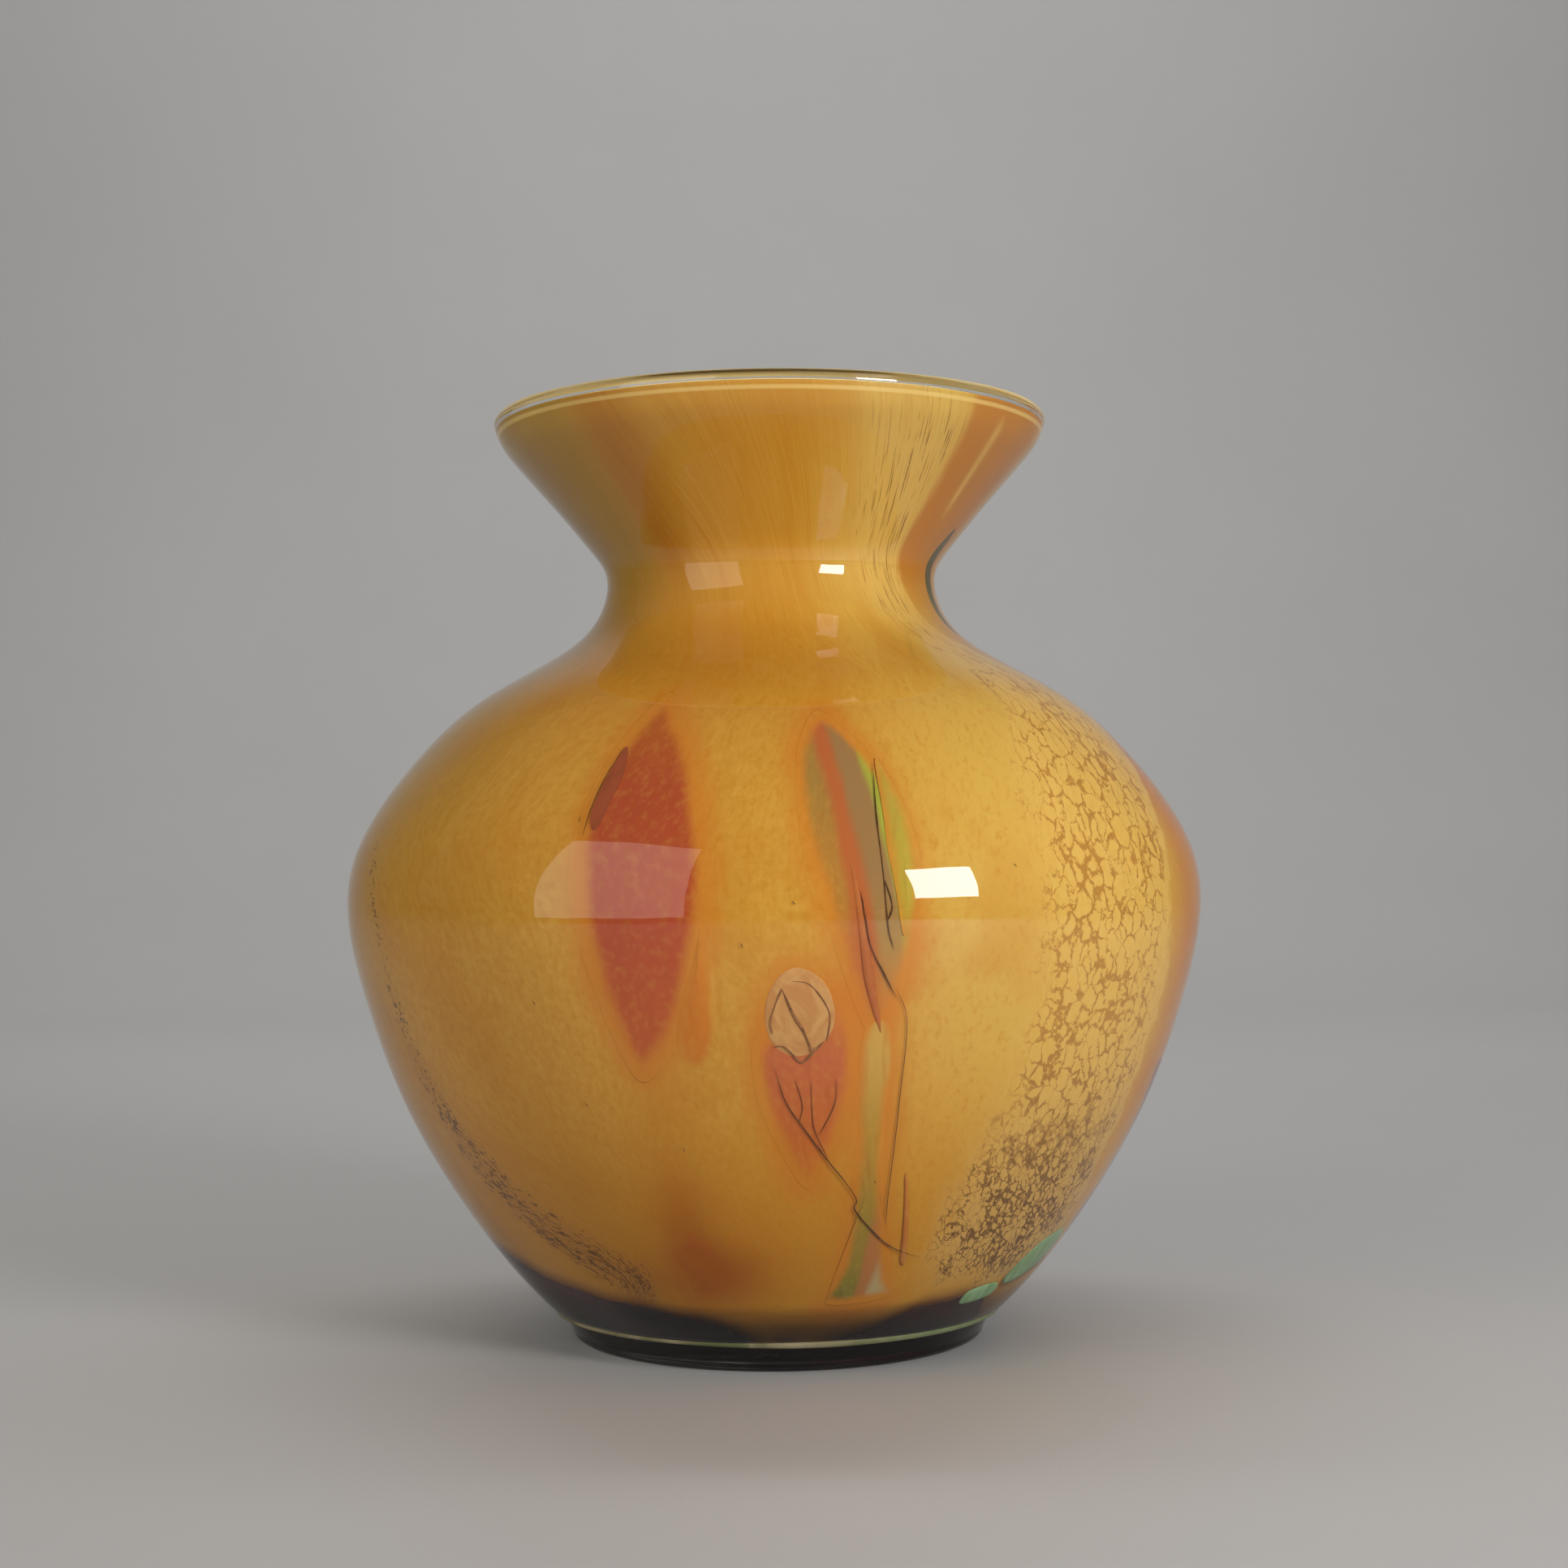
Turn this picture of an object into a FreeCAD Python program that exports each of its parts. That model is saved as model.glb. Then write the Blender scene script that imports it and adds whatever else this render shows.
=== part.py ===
"""Hand blown cased glass vase: clear casing over an amber overlay and an opal lining.

Millimetres, +Z up, origin at the middle of the face it rests on.  Angles are degrees
round the axis, 0 at the front (-Y) and positive towards the right (+X).  Levels give
heights on the form: 0 at the heel, 1 at the belly, 2 at the neck and 3 at the rim.
Coloured bits lie between the overlay and the casing, each in its own pocket there.
"""
import FreeCAD, Part
import math
import os

# Outside form
foot_height = 8.0
body_rise = 102.0
shoulder_rise = 83.0
flare_rise = 47.0
foot_radius = 54.0
foot_top_radius = 57.0
heel_radius = 59.3
belly_radius = 110.9
neck_radius = 43.5
rim_radius = 72.1
heel_angle = 44.0
rim_lean = 20.0

# The outside between those sizes: at each level, the share of the change in radius made so far
body_form = [(0.25, 0.41), (0.50, 0.70), (0.75, 0.89)]
shoulder_form = [(1.25, 0.06), (1.50, 0.28), (1.70, 0.57), (1.85, 0.88)]
flare_form = [(2.25, 0.12), (2.50, 0.46), (2.75, 0.82)]

# Walls, from the outside in
casing_wall = 2.6
casing_heel_extra = 1.6
overlay_wall = 0.8
lining_wall = 1.4
pool_wall = 1.5

# Floors, from the foot up
casing_floor = 2.4
pool_floor = 2.6
overlay_floor = 1.0
lining_floor = 2.5

# Bits and threads laid on the overlay
bit_depth = 0.8
thread_depth = 0.4
thread_width = 0.7
fleck_length = 5.0
fleck_width = 1.6

sliver_share = 0.02

# Lip, pool, foot and ribbon
lip_cover = 0.3
pool_height = 19.5
pool_tilt = 9.0
foot_edge_round = 2.0
pontil_radius = 20.0
pontil_depth = 1.5
ribbon_radius = 1.3
ribbon_setback = 1.4

# Levels where the floors meet the wall and where the heel's extra casing ends
join_place = 0.10
heel_extra_end = 0.8
points_per_curve = 9
fewest_points = 4

axis = FreeCAD.Vector(0, 0, 1)
origin = FreeCAD.Vector(0, 0, 0)
full_wall = casing_wall + overlay_wall + lining_wall
level_heights = [foot_height]
for rise in (body_rise, shoulder_rise, flare_rise):
    level_heights.append(level_heights[-1] + rise)
total_height = level_heights[-1]


def in_plane(radius, height):
    """A point of a profile: the profiles stand in the YZ plane, so seams lie at the back."""
    return FreeCAD.Vector(0, radius, height)


def height_at(level):
    index = min(int(level), 2)
    low, high = level_heights[index:index + 2]
    return low + (high - low) * (level - index)


def outside_curve():
    """One smooth curve from heel to rim, whose parameter is the level."""
    lean = math.radians(rim_lean)
    lip_rise = full_wall / 2 * (1 + math.sin(lean))
    radii = [heel_radius, belly_radius, neck_radius, rim_radius]
    stations = []
    for index, form in enumerate([body_form, shoulder_form, flare_form]):
        start, end = radii[index:index + 2]
        stations.append((index, start))
        stations += [(level, start + (end - start) * share) for level, share in form]
    points = [in_plane(radius, height_at(level)) for level, radius in stations]
    points.append(in_plane(rim_radius, total_height - lip_rise))
    slope = math.radians(heel_angle)
    curve = Part.BSplineCurve()
    curve.interpolate(
        points, Parameters=[float(level) for level, _ in stations] + [3.0],
        InitialTangent=in_plane(body_rise / math.tan(slope), body_rise),
        FinalTangent=in_plane(flare_rise * math.tan(lean), flare_rise), Scale=False)
    return curve


outside = outside_curve()


def wall_way(place):
    return outside.tangent(place)[0]


def wall_point(place, depth):
    """The point at a depth under the outside, square to it."""
    way = wall_way(place)
    return outside.value(place) + in_plane(-way.z, way.y) * depth


def casing_depth(place):
    """The casing's thickness, which grows towards the heel."""
    left = max(0.0, 1 - place / heel_extra_end)
    return casing_wall + casing_heel_extra * left ** 2


def offset_curve(start, end, under):
    """A smooth curve that follows the casing's inner face, moved inward by a further depth."""
    count = max(fewest_points, 1 + round((end - start) * points_per_curve))
    places = [start + (end - start) * k / (count - 1) for k in range(count)]
    curve = Part.BSplineCurve()
    curve.interpolate([wall_point(p, casing_depth(p) + under) for p in places])
    return curve


def seat_place():
    """Where the inner layers end, the lip's cover below the rim."""
    return outside.parameterAtDistance(outside.length() - lip_cover, 0)


layers_end = seat_place()


def bowl(under, floor):
    """The edges of one layer's face: a domed floor from the axis, then the wall to the lip."""
    wall = offset_curve(join_place, layers_end, under)
    foot_of_wall = wall.value(wall.FirstParameter)
    way = wall_way(join_place)
    rise = foot_of_wall.z - floor
    centre = in_plane(0, floor)
    back = way * (rise / way.z)
    dome = Part.BezierCurve()
    dome.setPoles([centre, foot_of_wall - back, foot_of_wall - back * 0.5, foot_of_wall])
    return [dome.toShape(), wall.toShape()]


def revolve(edges):
    """A solid of revolution from the edges of a closed profile."""
    wire = Part.Wire(Part.__sortEdges__(edges))
    return Part.Face(wire).revolve(origin, axis, 360)


def end_of(edges):
    return edges[-1].valueAt(edges[-1].LastParameter)


def start_of(edges):
    return edges[0].valueAt(edges[0].FirstParameter)


def between(outer, inner):
    """The solid between two bowls."""
    top = Part.makeLine(end_of(outer), end_of(inner))
    middle = Part.makeLine(start_of(outer), start_of(inner))
    return revolve(outer + [top] + inner + [middle])


pool_bottom = foot_height + casing_floor
overlay_bottom = pool_bottom + pool_floor
lining_bottom = overlay_bottom + overlay_floor
cavity_bottom = lining_bottom + lining_floor

overlay_face = bowl(0, overlay_bottom)
lining_face = bowl(overlay_wall, lining_bottom)
cavity_face = bowl(overlay_wall + lining_wall, cavity_bottom)
pool_face = bowl(-pool_wall, pool_bottom)
bit_face = bowl(-bit_depth, overlay_bottom - bit_depth)
thread_face = bowl(-bit_depth - thread_depth, overlay_bottom - bit_depth - thread_depth)


def make_casing_blank():
    """The clear casing before the pockets: heel, wall and a lip rolled over the layers."""
    heel = in_plane(heel_radius, foot_height)
    rim_outer = wall_point(3, 0)
    rim_inner = wall_point(3, full_wall)
    crown = (rim_outer + rim_inner) * 0.5 + wall_way(3) * (full_wall / 2)
    lip = Part.Arc(rim_outer, crown, rim_inner).toShape()
    cover = offset_curve(layers_end, 3, overlay_wall + lining_wall).toShape()
    seat = Part.makeLine(end_of(cavity_face), end_of(overlay_face))
    middle = Part.makeLine(start_of(overlay_face), in_plane(0, foot_height))
    under = Part.makeLine(in_plane(0, foot_height), heel)
    return revolve([outside.toShape(), lip, cover, seat] + overlay_face + [middle, under])


def make_pool():
    """Dark glass wrapped round the bottom of the overlay, cut off along a tilted edge."""
    whole = between(pool_face, overlay_face)
    reach = 2 * belly_radius
    below = Part.makeBox(2 * reach, 2 * reach, reach, FreeCAD.Vector(-reach, -reach, -reach))
    below.rotate(origin, FreeCAD.Vector(0, 1, 0), pool_tilt)
    below.translate(axis * pool_height)
    return whole.common(below)


def make_foot():
    """A disc with a rounded bottom edge, a raked side and a polished dish underneath."""
    corner = foot_edge_round * (1 - math.sqrt(0.5))
    flat_end = in_plane(foot_radius - foot_edge_round, 0)
    side_start = in_plane(foot_radius, foot_edge_round)
    side_end = in_plane(foot_top_radius, foot_height)
    dish_end = in_plane(pontil_radius, 0)
    dish_side = in_plane(pontil_radius / 2, pontil_depth * 0.75)
    dish_top = in_plane(0, pontil_depth)
    edges = [
        Part.Arc(dish_top, dish_side, dish_end).toShape(),
        Part.makeLine(dish_end, flat_end),
        Part.Arc(flat_end, in_plane(foot_radius - corner, corner), side_start).toShape(),
        Part.makeLine(side_start, side_end),
        Part.makeLine(side_end, in_plane(0, foot_height)),
        Part.makeLine(in_plane(0, foot_height), dish_top),
    ]
    return revolve(edges)


def make_ribbon():
    """A thread of pale glass wound round the joint of foot and body."""
    return Part.makeTorus(heel_radius - ribbon_setback, ribbon_radius,
                          FreeCAD.Vector(0, 0, foot_height), axis)


def radius_at(height):
    """The outside radius at a height, found by halving the interval."""
    low, high = 0.0, 3.0
    for _ in range(40):
        middle = (low + high) / 2
        if wall_point(middle, 0).z < height:
            low = middle
        else:
            high = middle
    return wall_point(low, 0).y


class View:
    """A plane square to one direction round the axis, on which outlines are drawn."""

    def __init__(self, points):
        angles = [angle for angle, _ in points]
        self.middle = (min(angles) + max(angles)) / 2
        turn = math.radians(self.middle)
        self.out = FreeCAD.Vector(math.sin(turn), -math.cos(turn), 0)
        self.side = FreeCAD.Vector(math.cos(turn), math.sin(turn), 0)
        self.reach = belly_radius + full_wall

    def point(self, angle, height):
        across = radius_at(height) * math.sin(math.radians(angle - self.middle))
        return self.out * self.reach + self.side * across + axis * height

    def prism(self, edges):
        """The edges' face carried straight inward as far as the axis."""
        face = Part.Face(Part.Wire(edges))
        return face.extrude(self.out * -self.reach)


def placed(points):
    """(angle, level) points as (angle, height) points."""
    return [(angle, height_at(level)) for angle, level in points]


def bit_prism(outline):
    """A prism with a smooth closed outline through (angle, height) points."""
    view = View(outline)
    curve = Part.BSplineCurve()
    curve.interpolate([view.point(*place) for place in outline], PeriodicFlag=True)
    return view.prism([curve.toShape()])


def strip_prism(route, width):
    """A prism with an even width along a smooth route of (angle, height) points."""
    view = View(route)
    middle = Part.BSplineCurve()
    middle.interpolate([view.point(*place) for place in route])
    count = 3 * len(route)
    first, last = middle.FirstParameter, middle.LastParameter
    sides = []
    for way in (1, -1):
        points = []
        for k in range(count):
            at = first + (last - first) * k / (count - 1)
            square = middle.tangent(at)[0].cross(view.out)
            points.append(middle.value(at) + square * (way * width / 2))
        side = Part.BSplineCurve()
        side.interpolate(points)
        sides.append((side.toShape(), points[0], points[-1]))
    (left, left_start, left_end), (right, right_start, right_end) = sides
    return view.prism(Part.__sortEdges__([
        left, Part.makeLine(left_end, right_end), right, Part.makeLine(right_start, left_start)]))


def fleck_prism(angle, height, size, lean):
    """A small six-sided prism, long along a line that leans from the vertical."""
    view = View([(angle, height)])
    middle = view.point(angle, height)
    turn = math.radians(lean)
    along = (axis * math.cos(turn) + view.side * math.sin(turn)) * (size * fleck_length / 2)
    across = view.out.cross(along).normalize() * (size * fleck_width / 2)
    half = [along, along * 0.3 + across, along * -0.5 + across]
    corners = [middle + step for step in half] + [middle - step for step in half]
    return view.prism([Part.makePolygon(corners + corners[:1])])


# Outlines of the coloured bits, as (angle, level) points round each
red_petal = [(-16, 1.60), (-11, 1.48), (-9, 1.25), (-8, 0.98), (-8, 0.80), (-11, 0.69),
             (-15, 0.76), (-20, 0.94), (-22, 1.18), (-21, 1.43)]
orange_lobe = [(-10, 0.82), (-6.5, 0.78), (-6, 0.72), (-9, 0.67), (-12, 0.70), (-12, 0.78)]
green_petal = [(7, 1.57), (11, 1.51), (14, 1.41), (15.5, 1.25), (16, 1.05), (15, 0.88),
               (12, 0.78), (9, 0.88), (7, 1.02), (4.5, 1.25), (4, 1.45)]
honey_seed = [(3, 0.90), (6, 0.86), (7, 0.78), (5, 0.72), (2, 0.71), (-0.5, 0.75),
              (-1, 0.82), (0.5, 0.88)]
rose_drop = [(7, 0.83), (9, 0.75), (9, 0.63), (7.5, 0.51), (4.5, 0.42), (1, 0.51),
             (-1.5, 0.65), (-1, 0.75)]
green_stem = [(14, 0.75), (15, 0.57), (17, 0.37), (20, 0.14), (12, 0.14), (12.5, 0.37),
              (11.5, 0.57), (11.5, 0.71)]
straw_crackle = [(20, 2.88), (33, 2.92), (45, 2.88), (48, 2.52), (51, 2.08), (60, 1.82),
                 (76, 1.62), (71, 1.43), (64, 1.27), (60, 1.02), (63, 0.75), (63, 0.51),
                 (62, 0.33), (48, 0.28), (35, 0.35), (32, 0.51), (35, 0.75), (33, 0.98),
                 (33, 1.23), (36, 1.45), (42, 1.65), (40, 1.84), (30, 1.98), (23, 2.40)]
burgundy_wash = [(73, 0.63), (82, 0.57), (84, 0.35), (78, 0.19), (72, 0.23), (75, 0.41)]
olive_slip = [(74, 2.34), (77, 2.28), (77, 2.08), (75, 1.88), (71, 1.88), (69.5, 2.10)]
mint_chips = [[(57, 0.20), (66, 0.20), (67, 0.15), (57, 0.13), (54, 0.16)],
              [(44, 0.16), (51, 0.16), (51, 0.13), (44, 0.13)]]
smoke_lens = [(-20, 1.50), (-18.5, 1.38), (-20, 1.26), (-22, 1.25), (-22.5, 1.35)]
lime_edge = [(14, 1.38), (15.8, 1.25), (16.4, 1.07), (15.2, 0.96), (14.6, 1.10), (14.2, 1.25)]

# Centre lines of the trails, threads and veins, as (angle, level)
peach_stem = [(19, 0.43), (21, 0.31), (25, 0.15)]
peach_stem_width = 3.0
petal_vein = [(8, 1.49), (8.5, 1.30), (9.5, 1.09), (11, 0.89), (13, 0.76)]
petal_vein_width = 3.2
seed_vein = [(1, 0.87), (2, 0.82), (3, 0.78), (4, 0.75)]
seed_vein_width = 1.4
threads = [
    [(13.7, 1.45), (12.8, 1.30), (12.8, 1.14), (13.2, 1.00), (14, 0.94)],
    [(10.2, 1.05), (11, 0.95), (13, 0.89), (15, 0.82)],
    [(5, 0.57), (9, 0.45), (12, 0.38), (17, 0.29), (21, 0.25), (26, 0.21)],
]

# The line of flecks down the left side, their number and how they lean from first to last
fleck_line = [(-65, 1.25), (-60, 0.82), (-55, 0.55), (-46, 0.36)]
fleck_count = 14
fleck_weave = 2.0
fleck_lean_start = 12.0
fleck_lean_end = -28.0


def make_flecks():
    """A scatter of separate flecks that follows a line and weaves from side to side."""
    line = Part.BSplineCurve()
    line.interpolate([FreeCAD.Vector(angle, height, 0) for angle, height in placed(fleck_line)])
    prisms = []
    for k in range(fleck_count):
        share = k / (fleck_count - 1)
        spot = line.value(line.FirstParameter + share * (line.LastParameter - line.FirstParameter))
        angle = spot.x + fleck_weave * (-1) ** k
        size = 1.0 - 0.18 * (k % 3)
        lean = fleck_lean_start + share * (fleck_lean_end - fleck_lean_start)
        prisms.append(fleck_prism(angle, spot.y, size, lean))
    return prisms


def lay(layer, orders, laid):
    """Cut each bit out of a layer.  A bit is trimmed by the named ones that were laid before it."""
    for name, prisms, trimmed_by in orders:
        solids = []
        for prism in prisms:
            bit = prism.common(layer)
            for other in trimmed_by:
                bit = bit.cut(laid[other])
            solids += bit.Solids
        biggest = max(solid.Volume for solid in solids)
        kept = [solid for solid in solids if solid.Volume > sliver_share * biggest]
        laid[name] = kept[0] if len(kept) == 1 else Part.Compound(kept)


def make_inside():
    """Everything that the casing closes over, apart from the overlay itself."""
    bit_layer = between(bit_face, overlay_face)
    thread_layer = between(thread_face, bit_face)
    laid = {"amethyst_pool": make_pool(), "foot_ribbon": make_ribbon()}
    pool = ["amethyst_pool"]
    lay(bit_layer, [
        ("red_petal", [bit_prism(placed(red_petal))], []),
        ("orange_lobe", [bit_prism(placed(orange_lobe))], ["red_petal"]),
        ("green_petal", [bit_prism(placed(green_petal))], []),
        ("honey_seed", [bit_prism(placed(honey_seed))], []),
        ("rose_drop", [bit_prism(placed(rose_drop))], ["honey_seed"]),
        ("green_stem", [bit_prism(placed(green_stem))], pool),
        ("peach_stem", [strip_prism(placed(peach_stem), peach_stem_width)], pool + ["green_stem"]),
        ("mint_chips", [bit_prism(placed(outline)) for outline in mint_chips], pool),
        ("burgundy_wash", [bit_prism(placed(burgundy_wash))], pool),
        ("olive_slip", [bit_prism(placed(olive_slip))], []),
        ("straw_crackle", [bit_prism(placed(straw_crackle))], pool),
        ("brown_flecks", make_flecks(), pool),
    ], laid)
    lay(thread_layer, [
        ("smoke_lens", [bit_prism(placed(smoke_lens))], []),
        ("dark_threads", [strip_prism(placed(route), thread_width) for route in threads], []),
        ("lime_edge", [bit_prism(placed(lime_edge))], ["dark_threads"]),
        ("petal_vein", [strip_prism(placed(petal_vein), petal_vein_width)], ["dark_threads"]),
        ("seed_vein", [strip_prism(placed(seed_vein), seed_vein_width)], []),
    ], laid)
    return laid


def make_casing(inside):
    """The casing with its pockets: the one solid that reaches the lip."""
    pocketed = make_casing_blank().cut(inside)
    return max(pocketed.Solids, key=lambda solid: solid.BoundBox.DiagonalLength)


def make_nodes():
    nodes = make_inside()
    nodes["clear_casing"] = make_casing(list(nodes.values()))
    nodes["clear_foot"] = make_foot().cut(nodes["foot_ribbon"])
    nodes["amber_overlay"] = between(overlay_face, lining_face)
    nodes["opal_lining"] = between(lining_face, cavity_face)
    return nodes


os.makedirs("parts", exist_ok=True)
for node, shape in make_nodes().items():
    shape.exportStep("parts/" + node + ".step")
    state = "valid" if shape.isValid() else "NOT VALID"
    print(node, len(shape.Solids), "solids", round(shape.Volume), "mm3", state)
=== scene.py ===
"""Looks of a hand blown cased glass vase: amber powder colour and hot bits under clear glass.

Metres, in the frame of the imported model: +Z up, -Y to the front.  Angles are degrees round
the axis, 0 at the front and positive to the right.  Levels are heights on the form: 0 at
the heel, 1 at the belly, 2 at the neck and 3 at the rim.
"""
import bmesh
import bpy
import math
import numpy as np
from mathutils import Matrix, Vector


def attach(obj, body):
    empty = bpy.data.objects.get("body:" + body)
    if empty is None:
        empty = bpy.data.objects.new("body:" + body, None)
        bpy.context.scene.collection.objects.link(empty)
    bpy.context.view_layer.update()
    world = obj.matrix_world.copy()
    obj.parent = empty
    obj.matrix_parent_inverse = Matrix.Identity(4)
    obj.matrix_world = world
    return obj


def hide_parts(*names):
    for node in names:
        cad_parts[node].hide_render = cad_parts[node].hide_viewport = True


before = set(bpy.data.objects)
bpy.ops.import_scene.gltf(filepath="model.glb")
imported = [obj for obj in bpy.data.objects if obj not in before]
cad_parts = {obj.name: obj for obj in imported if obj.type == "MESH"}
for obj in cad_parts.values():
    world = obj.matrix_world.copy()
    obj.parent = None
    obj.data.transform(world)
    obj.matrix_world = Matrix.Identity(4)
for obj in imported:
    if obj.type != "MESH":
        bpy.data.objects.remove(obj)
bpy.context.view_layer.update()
MM = 0.001

# ---------------------------------------------------------------- form, millimetres
FOOT_HEIGHT = 8.0
RISES = (102.0, 83.0, 47.0)
FOOT_RADIUS = 54.0
FOOT_TOP_RADIUS = 57.0
RADII = (59.3, 110.9, 43.5, 72.1)
HEEL_ANGLE = 44.0
RIM_LEAN = 20.0
FORMS = (
    ((0.25, 0.41), (0.50, 0.70), (0.75, 0.89)),
    ((1.25, 0.06), (1.50, 0.28), (1.70, 0.57), (1.85, 0.88)),
    ((2.25, 0.12), (2.50, 0.46), (2.75, 0.82)),
)
CASING, CASING_EXTRA, CASING_EXTRA_END = 2.6, 1.6, 0.8
OVERLAY, LINING = 0.8, 1.4
WALL = CASING + OVERLAY + LINING
LIP_COVER = 0.3
POOL_BOTTOM, OVERLAY_BOTTOM, LINING_BOTTOM, CAVITY_BOTTOM = 10.4, 13.0, 14.0, 16.5
POOL_WALL = 1.5
JOIN = 0.10
PONTIL_RADIUS, PONTIL_DEPTH, FOOT_ROUND = 20.0, 1.5, 2.0
RIBBON_RADIUS, RIBBON_SETBACK = 1.3, 1.4

LEVEL_HEIGHTS = [FOOT_HEIGHT]
for rise in RISES:
    LEVEL_HEIGHTS.append(LEVEL_HEIGHTS[-1] + rise)
TOTAL = LEVEL_HEIGHTS[-1]


def height_at(level):
    return np.interp(level, (0, 1, 2, 3), LEVEL_HEIGHTS)


def level_at(height):
    return np.interp(height, LEVEL_HEIGHTS, (0, 1, 2, 3))


def clamped_spline(knots, values, first_slope, last_slope):
    """Slopes at the knots of the smooth cubic with the given slopes at its two ends."""
    n = len(knots)
    step = np.diff(knots)
    matrix = np.zeros((n, n))
    right = np.zeros(n)
    matrix[0, 0] = matrix[-1, -1] = 1
    right[0], right[-1] = first_slope, last_slope
    rate = np.diff(values) / step
    for k in range(1, n - 1):
        matrix[k, k - 1] = step[k]
        matrix[k, k] = 2 * (step[k - 1] + step[k])
        matrix[k, k + 1] = step[k - 1]
        right[k] = 3 * (step[k] * rate[k - 1] + step[k - 1] * rate[k])
    return np.linalg.solve(matrix, right)


def form_stations():
    lean = math.radians(RIM_LEAN)
    levels, radii = [], []
    for index, form in enumerate(FORMS):
        start, end = RADII[index:index + 2]
        levels += [float(index)] + [level for level, _ in form]
        radii += [start] + [start + (end - start) * share for _, share in form]
    heights = [float(height_at(level)) for level in levels]
    levels.append(3.0)
    radii.append(RADII[-1])
    heights.append(TOTAL - WALL / 2 * (1 + math.sin(lean)))
    return np.array(levels), np.array(radii), np.array(heights)


KNOTS, KNOT_RADII, KNOT_HEIGHTS = form_stations()
RADIUS_SLOPES = clamped_spline(KNOTS, KNOT_RADII, RISES[0] / math.tan(math.radians(HEEL_ANGLE)),
                               RISES[2] * math.tan(math.radians(RIM_LEAN)))
HEIGHT_SLOPES = clamped_spline(KNOTS, KNOT_HEIGHTS, RISES[0], RISES[2])


def hermite(level, values, slopes):
    level = np.clip(level, 0, 3)
    k = np.clip(np.searchsorted(KNOTS, level, side="right") - 1, 0, len(KNOTS) - 2)
    step = KNOTS[k + 1] - KNOTS[k]
    t = (level - KNOTS[k]) / step
    value = ((1 + 2 * t) * (1 - t) ** 2 * values[k] + t * (1 - t) ** 2 * step * slopes[k]
             + t * t * (3 - 2 * t) * values[k + 1] + t * t * (t - 1) * step * slopes[k + 1])
    slope = ((6 * t * t - 6 * t) * (values[k] - values[k + 1]) / step
             + (3 * t * t - 4 * t + 1) * slopes[k] + (3 * t * t - 2 * t) * slopes[k + 1])
    return value, slope


def casing_depth(level):
    left = np.clip(1 - np.asarray(level, float) / CASING_EXTRA_END, 0, 1)
    return CASING + CASING_EXTRA * left ** 2


def wall(level, depth):
    """Radius and height of the point at a depth under the outside, square to it."""
    radius, radius_slope = hermite(level, KNOT_RADII, RADIUS_SLOPES)
    height, height_slope = hermite(level, KNOT_HEIGHTS, HEIGHT_SLOPES)
    size = np.hypot(radius_slope, height_slope)
    return radius - height_slope / size * depth, height + radius_slope / size * depth


# the path length along the outside, from the heel up, as a table over levels
TABLE_LEVELS = np.linspace(0, 3, 1201)
TABLE_RADII, TABLE_HEIGHTS = wall(TABLE_LEVELS, 0)
TABLE_STEPS = np.hypot(np.diff(TABLE_RADII), np.diff(TABLE_HEIGHTS))
TABLE_PATH = np.concatenate(([0], np.cumsum(TABLE_STEPS)))
LAYERS_END = float(np.interp(TABLE_PATH[-1] - LIP_COVER, TABLE_PATH, TABLE_LEVELS))


def path_at(level):
    return np.interp(level, TABLE_LEVELS, TABLE_PATH)


def bowl_profile(under, floor, rings, floor_rings, end=None):
    """A layer's face from the axis out along its domed floor and up its wall."""
    levels = np.linspace(JOIN, LAYERS_END if end is None else end, rings)
    radii, heights = wall(levels, casing_depth(levels) + under)
    way = np.array([radii[1] - radii[0], heights[1] - heights[0]])
    start = np.array([radii[0], heights[0]])
    back = way * (start[1] - floor) / way[1]
    poles = [np.array([0.0, floor]), start - back, start - back * 0.5, start]
    t = np.linspace(0, 1, floor_rings, endpoint=False)[:, None]
    dome = ((1 - t) ** 3 * poles[0] + 3 * (1 - t) ** 2 * t * poles[1]
            + 3 * (1 - t) * t * t * poles[2] + t ** 3 * poles[3])
    return np.concatenate([dome, np.column_stack([radii, heights])])


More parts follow.
